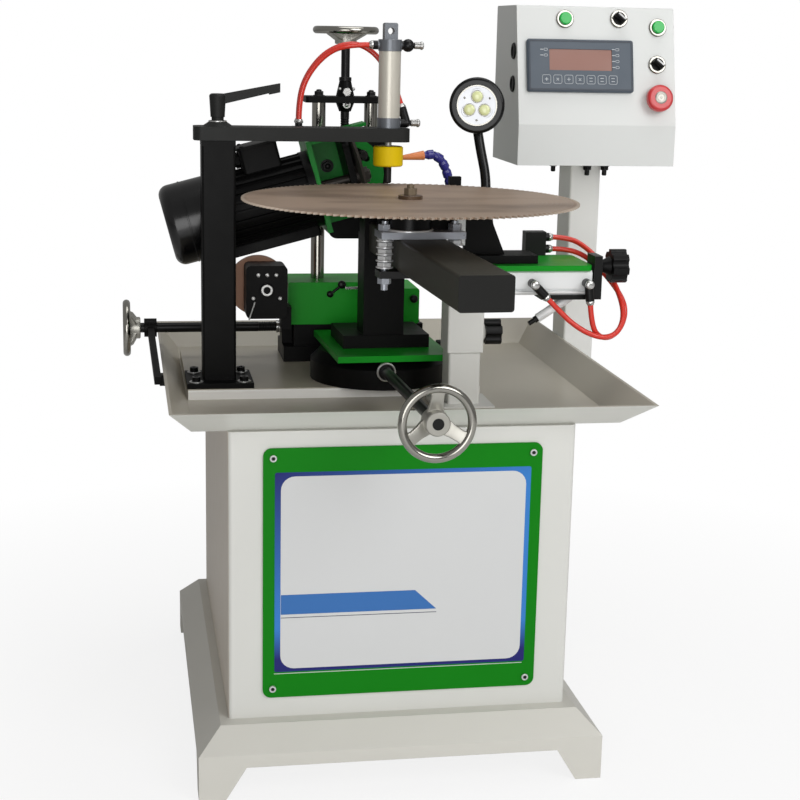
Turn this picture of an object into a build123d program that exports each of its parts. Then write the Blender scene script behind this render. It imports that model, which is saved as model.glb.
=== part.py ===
from build123d import *
import os
from math import atan2, cos, degrees, hypot, pi, radians, sin, tan

# Saw blade sharpener on a sheet metal cabinet. Millimetres, +Z up, front towards -Y.
# X = 0 is the middle of the cabinet and Y = 0 its front, until the last step centres the whole.

# Plinth and cabinet
cabinet_width = 500.0
cabinet_depth = 600.0
cabinet_height = 427.0
cabinet_sheet = 3.0
cabinet_edge = 6.0
plinth_width = 592.0
plinth_depth = 700.0
plinth_height = 100.0
plinth_slope = 33.0
plinth_sheet = 5.0
plinth_toe = 54.0
arch_height = 48.0
foot_width = 38.0
foot_flare = 30.0
foot_plate = 6.0
anchor_hole = 12.0
louvre_count = 8
louvre_length = 150.0
louvre_height = 7.0
louvre_pitch = 26.0

# Front panel
panel_side = 49.0
panel_below = 31.0
panel_above = 24.0
panel_thickness = 3.0
panel_radius = 12.0
screw_inset = 14.0
panel_screw = 5.0
panel_screw_head = 10.0
screw_play = 0.1

# Chip tray and bed plate
tray_sheet = 2.5
tray_height = 39.0
floor_left = -300.0
floor_right = 318.0
floor_front = 8.0
floor_rear = 612.0
rim_left = -332.0
rim_right = 354.0
rim_front = -54.0
rim_rear = 660.0
bed_thickness = 15.5
bed_left = -296.0
bed_right = 150.0
bed_front = 193.0
bed_rear = 508.0
bed_edge = 4.0

# Press column, swing arm and cylinder
column_x = -247.0
column_y = 247.0
column_size = 50.0
column_wall = 4.0
column_height = 358.5
column_plate = 100.0
column_plate_thickness = 8.0
column_cap = 8.0
column_screw = 8.0
column_screw_head = 13.0
column_screw_inset = 14.0
screw_hole_start = 7.75
screw_start = 9.3
stud_diameter = 20.0
stud_thread = 14.0
cut_over = 1.0
arm_thickness = 20.0
arm_width = 50.0
arm_left_end = 36.0
arm_right_end = 30.0
arm_corner = 12.0
press_x = 9.0
arm_boss = 46.0
arm_boss_top = 28.0
arm_boss_height = 6.0
lever_washer = 24.0
lever_washer_thickness = 2.0
lever_neck = 18.0
lever_neck_height = 7.0
lever_foot = 21.0
lever_hub = 25.0
lever_hub_height = 41.0
lever_round = 4.0
lever_reach = 92.0
lever_rise = 20.0
lever_width = 12.0
lever_root = 15.0
lever_tip = 11.0
lever_end = 16.0
lever_end_height = 15.0
tube_diameter = 33.0
tube_bore = 24.0
tube_length = 98.0
cap_diameter = 35.0
lower_cap = 15.0
upper_cap = 17.0
neck_diameter = 22.0
lug_width = 20.0
lug_thickness = 20.0
lug_height = 24.0
lug_round = 3.0
lug_hole = 10.0
piston_rod = 10.0
piston_length = 16.0
piston_lift = 40.0
foot_rod = 11.0
pad_diameter = 45.0
pad_height = 30.0
pad_drop = 7.0
pad_edge = 2.0
press_gap = 2.3
fitting_body = 13.0
upper_fitting = 19.0
fitting_nipple = 8.5
fitting_reach = 16.0
nipple_length = 14.0
hose_diameter = 8.0
union_width = 18.0
union_depth = 22.0
union_height = 18.0
union_x = -123.0
union_fitting = 10.0
hose_spread = 11.0
port_lean_left = 0.25
port_lean_back = 0.45
port_leg = 24.0

# Blade table on its round base
table_x = 4.0
table_y = 271.0
table_turn = 2.5
base_radius = 107.0
base_height = 45.0
base_edge = 15.0
slide_gap = 0.3
plate_width = 174.0
plate_front = -113.0
plate_rear = 109.0
plate_centre = 2.0
plate_thickness = 9.7
block_width = 134.0
block_front = -52.0
block_rear = 60.0
block_height = 20.0
support_offset = 1.0
support_width = 72.0
support_cut = 9.0
support_front = -49.0
support_depth = 50.0
anvil_depth = 40.0
anvil_height = 70.0
anvil_gap = 0.6
beam_width = 70.0
beam_height = 45.0
beam_wall = 4.0
beam_offset = 7.0
beam_end = -592.0
beam_drop = 51.4
beam_edge = 4.0
cross_screw_x = -13.0
cross_screw_height = 32.0
screw_diameter = 16.0
running_fit = 0.05
nut_width = 30.0
nut_front = -28.0
nut_rear = 12.0
nut_drop = 27.0
nut_slot_front = -48.0
nut_slot_spare = 8.0
collar_length = 16.0
collar_diameter = 24.0
screw_end = 45.0
screw_bore_end = 60.0
front_wheel_y = -424.0

# Saw blade and arbor
blade_height = 302.0
blade_radius = 234.5
blade_thickness = 2.6
blade_bore = 25.4
tooth_count = 150
tooth_depth = 8.0
tooth_land = 0.12
tooth_hook = 0.30
tooth_back = 0.62
arbor_x = -8.0
arbor_y = -236.0
clamp_length = 120.0
clamp_depth = 50.0
clamp_thickness = 10.0
lower_clamp_depth = 32.0
clamp_bolt = 10.0
clamp_bolt_pitch = 100.0
clamp_nut = 17.0
clamp_nut_height = 9.0
bearing_diameter = 60.0
arbor_journal = 20.0
arbor_flange = 64.0
arbor_flange_thickness = 6.0
arbor_washer = 34.0
arbor_washer_thickness = 5.0
arbor_nut = 16.0
arbor_nut_height = 10.0
arbor_thread = 10.0

# Handwheels
front_wheel = 106.0
left_wheel = 92.0
top_wheel = 106.0
wheel_rim = 12.0
wheel_hub = 34.0
wheel_hub_length = 28.0
spoke_width = 12.0
spoke_thickness = 8.0
spoke_count = 3
rim_sides = 10

# Grinding slideway and carriage
way_left = -133.0
way_right = 97.0
way_front = 392.0
way_rear = 492.0
way_height = 25.0
rail_width = 14.0
rail_height = 35.7
rail_inset = 4.0
lug_length = 17.0
lug_width_side = 16.0
carriage_left = -126.0
carriage_set_back = 2.0
carriage_right = 90.0
carriage_height = 69.0
carriage_step = 45.0
carriage_step_drop = 11.0
carriage_edge = 4.0
feed_height = 50.0
feed_y = 440.0
feed_nut_left = -60.0
feed_nut_right = -20.0
feed_nut_drop = 26.0
left_wheel_x = -362.0
bracket_boss = 30.0
bracket_width = 20.0
bracket_thickness = 10.0
bracket_foot_y = 200.0
bracket_bar = 12.0
bracket_x = -346.0
bracket_grip = 16.0
bracket_below_rim = 2.0
feed_screw_stop = 2.0
rod_diameter = 22.0
rod_x = -30.0
rod_y = 446.0
rod_pitch = 85.0
rod_socket = 35.0
rod_length = 285.0
top_width = 132.0
top_depth = 48.0
top_thickness = 10.0
top_corner = 6.0
top_socket = 4.0
top_bearing = 30.0
top_bearing_end = 19.0
top_bearing_above = 24.0
top_bearing_below = 14.0
lift_screw = 14.0
lift_collar = 20.0
lift_collar_height = 6.0
lift_screw_start = 105.0
top_wheel_lift = 58.0

# Tilting head
head_angle = 15.0
head_height = 303.0
head_width = 140.0
head_depth = 44.0
head_slide_height = 116.0
head_front = 424.0
head_chamfer = 3.0
spindle_y = 343.0
tilt_radius = 60.0
tilt_thickness = 11.7
tilt_pin = 20.0
tilt_pin_length = 13.0
slot_radius = 40.0
slot_width = 11.0
slot_start = 24.0
slot_sweep = 36.0
back_thickness = 10.0
frame_left = -63.0
frame_right = 3.0
frame_front = 300.0
frame_wall = 8.0
frame_below = 68.0
frame_above = 76.0
frame_top_front = 320.0
guard_right = 44.0
guard_front = 372.0
guard_thickness = 5.0
spindle_plate_thickness = 10.0
spindle_plate_front = 318.0
spindle_plate_below = 45.0
spindle_plate_above = 60.0
spindle_diameter = 16.0
spindle_hole = 34.0
spindle_start = 1.0
spindle_end = 3.0
spindle_plate_round = 12.0
motor_radius = 60.0
motor_core = 54.0
motor_length = 169.0
motor_flange = 12.0
fin_count = 24
fin_width = 4.0
fin_root = 2.0
cowl_radius = 63.0
cowl_length = 80.0
cowl_overlap = 12.0
cowl_round = 16.0
cowl_sheet = 2.5
vent_count = 5
vent_width = 6.0
vent_pitch = 15.0
terminal_left = -165.0
terminal_right = -105.0
terminal_depth = 64.0
terminal_top = 88.0
terminal_edge = 5.0
wheel_radius = 66.0
wheel_thickness = 4.0
wheel_position = 8.0
wheel_bore = 20.0
wheel_flange = 44.0
wheel_flange_thickness = 4.5
outer_flange = 36.0
outer_flange_thickness = 5.0
spindle_nut = 22.0
spindle_nut_height = 8.0

# Gearbox and cam
gearbox_left = -199.0
gearbox_right = -134.0
gearbox_front = 325.0
gearbox_rear = 377.0
gearbox_bottom = 83.0
gearbox_top = 167.0
gearbox_edge = 8.0
cam_x = -167.0
cam_height = 128.0
cam_radius = 48.0
cam_offset = -9.0
cam_thickness = 10.0
cam_shaft = 12.0
cam_gap = 1.5
ring_diameter = 22.0
ring_length = 8.0
flange_low = 63.0
flange_high = 79.0
flange_rear = 470.0

# Pusher on its post
post_x = 105.0
post_y = 125.0
post_size = 48.0
post_wall = 4.0
post_top = 185.0
post_plate = 86.0
post_plate_thickness = 8.0
sleeve_size = 54.0
sleeve_play = 0.25
sleeve_bottom = 85.5
sleeve_top = 207.5
pusher_left = 78.0
pusher_right = 290.0
pusher_front = 88.0
pusher_rear = 206.0
pusher_thickness = 8.0
pusher_corner = 8.0
knob_height = 112.0
knob_diameter = 38.0
knob_length = 24.0
knob_stud = 8.0
knob_lobes = 5
knob_lobe = 7.0
sleeve_boss = 24.0
sleeve_boss_length = 6.0
air_left = 152.0
air_right = 291.0
air_front = 92.0
air_depth = 38.0
air_height = 36.0
air_edge = 3.0
air_groove = 5.0
air_groove_width = 4.0
air_groove_height = 7.2
elbow_one_x = 200.0
elbow_one_angle = 45.0
elbow_two_x = 282.0
elbow_two_angle = 8.0
elbow_length = 25.0
end_thickness = 12.0
end_depth = 40.0
end_above = 21.0
end_bar_left = 215.0
end_bar_height = 7.0
end_gap = 3.0
probe_x = 268.0
probe_diameter = 10.0
probe_length = 68.0
probe_tip = 7.0
probe_tip_length = 10.0
probe_angle = 57.0
star_diameter = 50.0
star_length = 24.0
star_hub = 28.0
star_hub_tip = 14.0
star_hub_length = 16.0
star_lobes = 7
star_lobe = 7.0
star_stud = 10.0
slide_left = 117.0
slide_right = 212.0
slide_front = 108.0
slide_rear = 170.0
slide_thickness = 11.7
upright_left = 110.0
upright_right = 166.0
upright_top_right = 134.0
upright_y = 128.0
upright_thickness = 12.0
upright_height = 77.0
pawl_left = 108.0
pawl_right = 126.0
pawl_thickness = 12.0
pawl_rear = 273.0
finger_depth = 13.0
finger_height = 24.0
bar_left = 92.0
rear_union_left = 215.0
rear_union_width = 32.0
rear_union_seat = 10.0
rear_union_over = 12.0

# Lamp
lamp_x = 160.0
lamp_y = 192.0
lamp_base = 24.0
lamp_base_height = 20.0
neck_size = 15.0
lamp_head_x = 141.4
lamp_head_y = 235.0
lamp_head_height = 422.3
lamp_head_diameter = 84.0
lamp_head_round = 5.0
lamp_head_depth = 34.0
lamp_back = 34.0
lamp_turn = 12.5
lamp_tip = 2.5
lens_diameter = 62.0
lens_thickness = 2.0
lens_recess = 4.0
led_count = 3
led_diameter = 17.0
led_ring = 17.0

# Coolant
coolant_x = 126.0
coolant_y = 316.0
coolant_base = 30.0
coolant_base_height = 20.0
coolant_pipe = 12.0
coolant_pipe_height = 205.0
segment_pitch = 15.0
segment_large = 14.5
segment_small = 11.0
segment_waist = 0.55
segment_neck = 0.8
segment_gap = 0.2
nozzle_length = 40.0
nozzle_tip = 6.0

# Control box on its post
box_width = 262.0
box_depth = 175.0
box_set_back = 63.0
box_overhang = 118.0
box_lift = 323.0
box_apron = 65.0
box_face_height = 186.0
box_lean = 43.0
box_sheet = 2.5
box_edge = 4.0
side_hole = 22.0
side_hole_low = 62.0
side_hole_high = 114.0
side_hole_inset = 48.0
box_post_gap = 3.0
box_post_width = 52.0
box_post_depth = 75.0
box_post_drop = 57.0
box_post_wall = 4.0
post_arm_depth = 60.0
post_arm_height = 40.0
post_flange = 6.0
post_flange_reach = 22.0
display_width = 176.0
display_height = 84.0
display_u = 102.0
display_v = 94.0
display_bezel = 9.0
display_body = 30.0
display_lip = 4.0
display_window_width = 104.0
display_window_height = 34.0
display_window_rise = 9.0
display_window_depth = 2.0
panel_hole = 22.4
bezel_outer = 29.0
bezel_inner = 20.6
bezel_thickness = 4.0
cap_play = 0.3
cap_stem = 12.0
button_height = 9.0
button_edge = 1.5
bezel_edge = 1.2
grip_edge = 2.0
display_edge = 2.0
button_top_u = 79.0
button_top_v = 170.0
button_side_u = 234.0
button_side_v = 159.0
selector_top_u = 169.0
selector_top_v = 172.0
selector_side_u = 232.0
selector_side_v = 99.0
selector_turn = 50.0
selector_bar = 8.0
selector_bar_height = 11.0
selector_inset = 0.5
selector_rise = 2.0
stop_u = 231.0
stop_v = 42.0
stop_diameter = 43.0
stop_stem = 20.0
stop_height = 22.0
stop_collar = 34.0
stop_head = 11.0
stop_round = 5.0

# Heights that follow from the sizes above
cabinet_top = plinth_height + cabinet_height
tray_floor = cabinet_top + tray_sheet
tray_rim = cabinet_top + tray_height
bed_top = tray_floor + bed_thickness
column_top = bed_top + column_plate_thickness + column_height
arm_bottom = column_top + slide_gap
arm_top = arm_bottom + arm_thickness
base_top = bed_top + base_height
plate_bottom = base_top + slide_gap
plate_top = plate_bottom + plate_thickness
blade_top = bed_top + blade_height
blade_bottom = blade_top - blade_thickness
beam_top = blade_bottom - beam_drop
cross_screw_z = bed_top + cross_screw_height
feed_z = bed_top + feed_height
carriage_bottom = bed_top + way_height + rail_height + slide_gap
carriage_top = carriage_bottom + carriage_height
head_z = bed_top + head_height
rod_bottom = carriage_top - rod_socket
top_plate_z = carriage_top + rod_length
cam_z = bed_top + cam_height
pusher_bottom = tray_floor + sleeve_top
pusher_top = pusher_bottom + pusher_thickness
slide_bottom = pusher_top + slide_gap
slide_top = slide_bottom + slide_thickness
box_rear = cabinet_depth - box_set_back
box_front = box_rear - box_depth
box_post_left = rim_right + box_post_gap
box_post_front = box_rear - box_post_depth
box_post_bottom = cabinet_top - box_post_drop
box_left = box_post_left - box_overhang
box_bottom = bed_top + box_lift
box_fold = box_bottom + box_apron
box_top = box_fold + box_face_height

nodes = {}


def block(x0, x1, y0, y1, z0, z1):
    return Pos((x0 + x1) / 2, (y0 + y1) / 2, (z0 + z1) / 2) * Box(x1 - x0, y1 - y0, z1 - z0)


def rod_along_x(x0, x1, y, z, diameter):
    return Pos((x0 + x1) / 2, y, z) * Rot(0, 90, 0) * Cylinder(diameter / 2, x1 - x0)


def rod_along_y(y0, y1, x, z, diameter):
    return Pos(x, (y0 + y1) / 2, z) * Rot(90, 0, 0) * Cylinder(diameter / 2, y1 - y0)


def rod_along_z(z0, z1, x, y, diameter):
    return Pos(x, y, (z0 + z1) / 2) * Cylinder(diameter / 2, z1 - z0)


def hexagon_along_z(z0, z1, x, y, across):
    outline = RegularPolygon(across / 2, 6, major_radius=False)
    return Pos(x, y, z0) * extrude(outline, amount=z1 - z0)


def square_tube(x, y, size, wall, z0, z1):
    outer = Pos(x, y, z0) * extrude(RectangleRounded(size, size, wall), amount=z1 - z0)
    half = size / 2 - wall
    return outer - block(x - half, x + half, y - half, y + half, z0 - cut_over, z1 + cut_over)


def handwheel(diameter, bore):
    # Turned rim on flat spokes that slope back to a longer hub.
    rim_middle = diameter / 2 - wheel_rim / 2
    rim_height = wheel_hub_length - wheel_rim / 2
    section = Plane.XZ * Pos(rim_middle, rim_height) * RegularPolygon(wheel_rim / 2, rim_sides)
    wheel = revolve(section, Axis.Z)
    wheel += Pos(0, 0, wheel_hub_length / 2) * Cylinder(wheel_hub / 2, wheel_hub_length)
    foot = (wheel_hub / 4, wheel_hub_length / 2)
    rise = rim_height - foot[1]
    length = hypot(rim_middle - foot[0], rise)
    slope = degrees(atan2(rise, rim_middle - foot[0]))
    spoke = Pos(foot[0], 0, foot[1]) * Rot(0, -slope, 0) * Pos(length / 2, 0, 0)
    spoke = spoke * Box(length, spoke_width, spoke_thickness)
    for turn in range(spoke_count):
        wheel += Rot(0, 0, 90 + 360 * turn / spoke_count) * spoke
    return wheel - Cylinder(bore / 2, 4 * wheel_hub_length)


def hose(points, diameter):
    # Round hose through the points, every corner an arc that uses most of the shorter run beside it.
    vectors = [Vector(*point) for point in points]
    radii = []
    for before, corner, after in zip(vectors, vectors[1:], vectors[2:]):
        run_in = corner - before
        run_out = after - corner
        half_turn = radians(run_in.get_angle(run_out)) / 2
        radii.append(0.45 * min(run_in.length, run_out.length) / tan(half_turn))
    print("hose radii", [round(radius) for radius in radii])
    path = FilletPolyline(*vectors, radius=radii)
    start = Plane(origin=path @ 0, z_dir=path % 0)
    return sweep(start * Circle(diameter / 2), path=path)


def on_table(shape):
    return Location((table_x, table_y, 0), (0, 0, table_turn)) * shape


def on_head(shape):
    return Location((rod_x, 0, head_z), (0, -head_angle, 0)) * shape


# Plinth: sheet metal skirt with a sloped shoulder, arches between four feet and an anchor plate in each foot
def plinth_block(inset, height):
    x = plinth_width / 2 - inset
    body = block(-x, x, inset - plinth_toe, plinth_depth - plinth_toe - inset, 0, height)
    return chamfer(body.faces().sort_by(Axis.Z)[-1].edges(), plinth_slope)


def arch(span, length):
    low = span / 2 - foot_width
    high = low - foot_flare
    outline = Polygon((-low, -cut_over), (low, -cut_over), (high, arch_height), (-high, arch_height),
                      align=None)
    return Pos(0, length / 2, 0) * extrude(Plane.XZ * outline, amount=length)


plinth_middle = plinth_depth / 2 - plinth_toe
plinth = plinth_block(0, plinth_height)
plinth -= plinth_block(plinth_sheet, plinth_height - plinth_sheet)
plinth -= Pos(0, plinth_middle, 0) * arch(plinth_width, 2 * plinth_depth)
plinth -= Pos(0, plinth_middle, 0) * Rot(0, 0, 90) * arch(plinth_depth, 2 * plinth_width)
anchor_x = plinth_width / 2 - foot_width / 2
anchor_y = plinth_depth / 2 - foot_width / 2
for anchor in GridLocations(2 * anchor_x, 2 * anchor_y, 2, 2):
    pad = Pos(0, plinth_middle, foot_plate / 2) * anchor
    plinth += pad * Box(foot_width, foot_width, foot_plate)
    plinth -= pad * Cylinder(anchor_hole / 2, 2 * foot_plate)
nodes["base_plinth"] = plinth

# Cabinet: open bottomed shell with louvres through the rear
half_width = cabinet_width / 2
cabinet = block(-half_width, half_width, 0, cabinet_depth, plinth_height, cabinet_top)
cabinet = fillet(cabinet.edges().filter_by(Axis.Z), cabinet_edge)
cabinet -= block(-half_width + cabinet_sheet, half_width - cabinet_sheet, cabinet_sheet,
                 cabinet_depth - cabinet_sheet, plinth_height - cut_over, cabinet_top - cabinet_sheet)
louvre_middle = plinth_height + cabinet_height / 2
for place in GridLocations(1, louvre_pitch, 1, louvre_count):
    cabinet -= (Pos(0, cabinet_depth, louvre_middle) * Pos(0, 0, place.position.Y)
                * Box(louvre_length, 4 * cabinet_sheet, louvre_height))

# Front panel held by a screw in each corner
panel_width = cabinet_width - 2 * panel_side
panel_height = cabinet_height - panel_below - panel_above
panel_middle = plinth_height + panel_below + panel_height / 2
panel_face = Plane.XZ * Pos(0, panel_middle) * RectangleRounded(panel_width, panel_height, panel_radius)
panel = extrude(panel_face, amount=panel_thickness)
screws = []
for corner in GridLocations(panel_width - 2 * screw_inset, panel_height - 2 * screw_inset, 2, 2):
    x = corner.position.X
    z = panel_middle + corner.position.Y
    hole = rod_along_y(-2 * panel_thickness, 2 * cabinet_sheet, x, z, panel_screw + 2 * screw_play)
    panel -= hole
    cabinet -= hole
    screw = rod_along_y(-panel_thickness, 2 * cabinet_sheet, x, z, panel_screw)
    head = rod_along_y(-panel_thickness - panel_screw / 2, -panel_thickness, x, z, panel_screw_head)
    screws.append(screw + head)
nodes["cabinet"] = cabinet
nodes["front_panel"] = panel


# Chip tray: folded sheet with sloping walls
def tray_loft(inset, z0, z1):
    floor_sketch = Rectangle(floor_right - floor_left - 2 * inset, floor_rear - floor_front - 2 * inset)
    rim_sketch = Rectangle(rim_right - rim_left - 2 * inset, rim_rear - rim_front - 2 * inset)
    low = Pos((floor_left + floor_right) / 2, (floor_front + floor_rear) / 2, z0) * floor_sketch
    high = Pos((rim_left + rim_right) / 2, (rim_front + rim_rear) / 2, z1) * rim_sketch
    return loft([low, high], ruled=True)


tray = tray_loft(0, cabinet_top, tray_rim)
nodes["chip_tray"] = tray - tray_loft(tray_sheet, tray_floor, tray_rim + tray_sheet)

# Bed plate with a rounded front edge
bed = block(bed_left, bed_right, bed_front, bed_rear, tray_floor, bed_top)
bed = fillet(bed.edges().group_by(Axis.Z)[-1].sort_by(Axis.Y)[0], bed_edge)

# Press column: square tube welded to a base plate, closed on top, with the pivot stud of the arm
plate_z = bed_top + column_plate_thickness
half_plate = column_plate / 2
column = block(column_x - half_plate, column_x + half_plate, column_y - half_plate, column_y + half_plate,
               bed_top, plate_z)
column += square_tube(column_x, column_y, column_size, column_wall, plate_z, column_top - column_cap)
half_column = column_size / 2
column += block(column_x - half_column, column_x + half_column, column_y - half_column,
                column_y + half_column, column_top - column_cap, column_top)
boss_top = arm_top + arm_boss_height
lever_bottom = boss_top + slide_gap
column += rod_along_z(column_top, boss_top, column_x, column_y, stud_diameter)
column += rod_along_z(boss_top, lever_bottom + lever_hub_height / 2, column_x, column_y, stud_thread)
screw_reach = column_plate - 2 * column_screw_inset
for corner in GridLocations(screw_reach, screw_reach, 2, 2):
    x = column_x + corner.position.X
    y = column_y + corner.position.Y
    hole = rod_along_z(tray_floor + screw_hole_start, plate_z + cut_over, x, y, column_screw + 2 * screw_play)
    column -= hole
    bed -= hole
    socket_screw = rod_along_z(tray_floor + screw_start, plate_z, x, y, column_screw)
    socket_screw += rod_along_z(plate_z, plate_z + column_screw, x, y, column_screw_head)
    socket_screw -= hexagon_along_z(plate_z + column_screw / 2, plate_z + 2 * column_screw, x, y,
                                    column_screw_head / 2)
    screws.append(socket_screw)
nodes["fixing_screws"] = screws
nodes["bed_plate"] = bed
nodes["press_column"] = column

# Swing arm: flat bar with a low boss, bored for the stud and the cylinder neck
arm_length = press_x + arm_right_end - (column_x - arm_left_end)
arm_middle = column_x - arm_left_end + arm_length / 2
arm = Pos(arm_middle, column_y, arm_bottom) * extrude(
    RectangleRounded(arm_length, arm_width, arm_corner), amount=arm_thickness)
arm_boss_place = Pos(column_x, column_y, arm_top + arm_boss_height / 2)
arm += arm_boss_place * Cone(arm_boss / 2, arm_boss_top / 2, arm_boss_height)
bored = {column_x: stud_diameter + 2 * running_fit, press_x: neck_diameter + 2 * screw_play}
for x, bore in bored.items():
    arm -= rod_along_z(arm_bottom - cut_over, boss_top + cut_over, x, column_y, bore)
nodes["press_arm"] = arm

# Clamp lever: necked hub that widens upward, with a flat handle that rises to a thicker end
hub_top = lever_bottom + lever_hub_height
hub_bottom = lever_bottom + lever_neck_height
lever = Pos(column_x, column_y, (hub_bottom + hub_top) / 2) * Cone(lever_foot / 2, lever_hub / 2,
                                                                   hub_top - hub_bottom)
lever = fillet(lever.edges().filter_by(GeomType.CIRCLE).sort_by(Axis.Z)[-1], lever_round)
lever += rod_along_z(lever_bottom, hub_bottom, column_x, column_y, lever_neck)
lever += rod_along_z(lever_bottom, lever_bottom + lever_washer_thickness, column_x, column_y, lever_washer)
root_z = hub_top - lever_round / 2 - lever_root / 2
end_x = column_x + lever_reach
end_z = root_z + lever_rise
step_x = end_x - lever_end
step_z = root_z + lever_rise * (lever_reach - lever_end) / lever_reach
handle_profile = Polygon(
    (column_x, root_z - lever_root / 2),
    (step_x, step_z - lever_tip / 2),
    (step_x, step_z - lever_end_height / 2),
    (end_x, end_z - lever_end_height / 2),
    (end_x, end_z + lever_tip / 2),
    (column_x, root_z + lever_root / 2),
    align=None)
lever += Pos(0, column_y + lever_width / 2, 0) * extrude(Plane.XZ * handle_profile, amount=lever_width)
stud_top = lever_bottom + lever_hub_height / 2
lever -= rod_along_z(lever_bottom - cut_over, stud_top + cut_over, column_x, column_y,
                     stud_thread + 2 * running_fit)
nodes["clamp_lever"] = lever

# Press cylinder: tube between two caps, the lower neck through the arm and a lug on top
tube_bottom = arm_top + lower_cap
tube_top = tube_bottom + tube_length
cap_top = tube_top + upper_cap
tube = rod_along_z(tube_bottom, tube_top, press_x, column_y, tube_diameter)
tube -= rod_along_z(tube_bottom - cut_over, tube_top + cut_over, press_x, column_y, tube_bore)
nodes["cylinder_tube"] = tube
lower = rod_along_z(arm_top, tube_bottom, press_x, column_y, cap_diameter)
lower += rod_along_z(arm_bottom, arm_top, press_x, column_y, neck_diameter)
lower -= rod_along_z(arm_bottom - cut_over, tube_bottom + cut_over, press_x, column_y,
                     piston_rod + 2 * running_fit)
upper = rod_along_z(tube_top, cap_top, press_x, column_y, cap_diameter)
lug = Pos(press_x, column_y, cap_top) * Box(lug_width, lug_thickness, 2 * lug_height)
lug = fillet(lug.edges().filter_by(Axis.Y).group_by(Axis.Z)[-1], lug_round)
lug -= block(press_x - lug_width, press_x + lug_width, 0, 2 * column_y, cap_top - 2 * lug_height, cap_top)
upper += lug
upper -= rod_along_y(0, 2 * column_y, press_x, cap_top + lug_height / 2, lug_hole)
elbow_start = press_x + tube_bore / 2
elbow_x = press_x + cap_diameter / 2 + fitting_reach - fitting_body / 2
lower_elbow_z = arm_top + lower_cap / 2
upper_elbow_z = tube_top + upper_cap / 2
for z, body in {lower_elbow_z: fitting_body, upper_elbow_z: upper_fitting}.items():
    elbow = rod_along_x(elbow_start, elbow_x, column_y, z, fitting_body)
    elbow += Pos(elbow_x, column_y, z) * Sphere(body / 2)
    elbow += rod_along_x(elbow_x, elbow_x + body / 2 + nipple_length, column_y, z, fitting_nipple)
    if z == lower_elbow_z:
        lower += elbow - rod_along_z(z - fitting_body, z + fitting_body, press_x, column_y, tube_bore)
    else:
        upper += elbow
leg_along = Vector(-port_lean_left, port_lean_back, 1).normalized()
leg_start = Vector(elbow_x, column_y, lower_elbow_z)
leg_plane = Plane(origin=leg_start, z_dir=leg_along)
lower += leg_plane * Pos(0, 0, port_leg / 2) * Cylinder(fitting_body / 2, port_leg)
lower_port = leg_start + leg_along * port_leg
left_port_x = press_x - cap_diameter / 2 - fitting_reach / 2
upper += rod_along_x(left_port_x, press_x, column_y, upper_elbow_z, fitting_body)

# Press rod with its piston and hardened foot, and the pad round the foot
piston_bottom = tube_bottom + piston_lift
pad_top = arm_bottom - pad_drop
foot_tip = blade_top + press_gap
press_rod = rod_along_z(pad_top, piston_bottom, press_x, column_y, piston_rod)
press_rod += rod_along_z(piston_bottom, piston_bottom + piston_length, press_x, column_y,
                         tube_bore - 2 * running_fit)
foot = rod_along_z(foot_tip, pad_top, press_x, column_y, foot_rod)
press_rod += chamfer(foot.edges().sort_by(Axis.Z)[0], foot_rod / 8)
nodes["press_rod"] = press_rod
pad = rod_along_z(pad_top - pad_height, pad_top, press_x, column_y, pad_diameter)
pad = chamfer(pad.edges().filter_by(GeomType.CIRCLE), pad_edge)
pad -= rod_along_z(foot_tip, pad_top + cut_over, press_x, column_y, foot_rod + 2 * running_fit)
nodes["press_pad"] = pad

# Union on the rear of the arm and the two air hoses from it to the cylinder
union_front = column_y + arm_width / 2
union_middle = union_front + union_depth / 2
union_z = arm_bottom + arm_thickness / 2
union = block(union_x - union_width / 2, union_x + union_width / 2, union_front, union_front + union_depth,
              union_z - union_height / 2, union_z + union_height / 2)
union_top = union_z + union_height / 2 + union_fitting / 2
hose_front = union_middle - hose_spread / 2
hose_rear = union_middle + hose_spread / 2
for y in (hose_front, hose_rear):
    union += rod_along_z(union_z, union_top, union_x, y, union_fitting)
nodes["cylinder_caps"] = [lower, upper, union]
upper_route = [
    (union_x, hose_front, union_top),
    (union_x, hose_front, union_top + 36),
    (union_x + 13, hose_front - 3, union_top + 74),
    (left_port_x - 64, column_y + 15, upper_elbow_z - 10),
    (left_port_x - 32, column_y, upper_elbow_z),
    (left_port_x, column_y, upper_elbow_z),
]
last_bend = lower_port + leg_along * 26
lower_route = [
    (union_x, hose_rear, union_top),
    (union_x, hose_rear, union_top + 36),
    (union_x + 13, hose_rear, union_top + 74),
    (press_x - 89, hose_rear - 1, upper_elbow_z - 9),
    (press_x - 47, hose_rear - 2, upper_elbow_z + 4),
    (press_x - 15, hose_rear - 5, upper_elbow_z - 13),
    (press_x + 3, hose_rear - 11, upper_elbow_z - 42),
    (last_bend.X, last_bend.Y, last_bend.Z),
    (lower_port.X, lower_port.Y, lower_port.Z),
]
nodes["press_hoses"] = [hose(upper_route, hose_diameter), hose(lower_route, hose_diameter)]

# Round base of the blade table with a slot for the nut and a bore for the cross screw
base = rod_along_z(bed_top, base_top, 0, 0, 2 * base_radius)
base = chamfer(base.edges().filter_by(GeomType.CIRCLE).sort_by(Axis.Z)[-1], base_edge)
screw_bore = screw_diameter + 2 * running_fit
base -= rod_along_y(-base_radius, screw_bore_end, cross_screw_x, cross_screw_z, screw_bore)
nut_bottom = plate_bottom - nut_drop
base -= block(cross_screw_x - nut_width / 2, cross_screw_x + nut_width / 2, nut_slot_front,
              nut_rear + nut_slot_spare, nut_bottom - cut_over, base_top + cut_over)
nodes["round_base"] = on_table(base)

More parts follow.
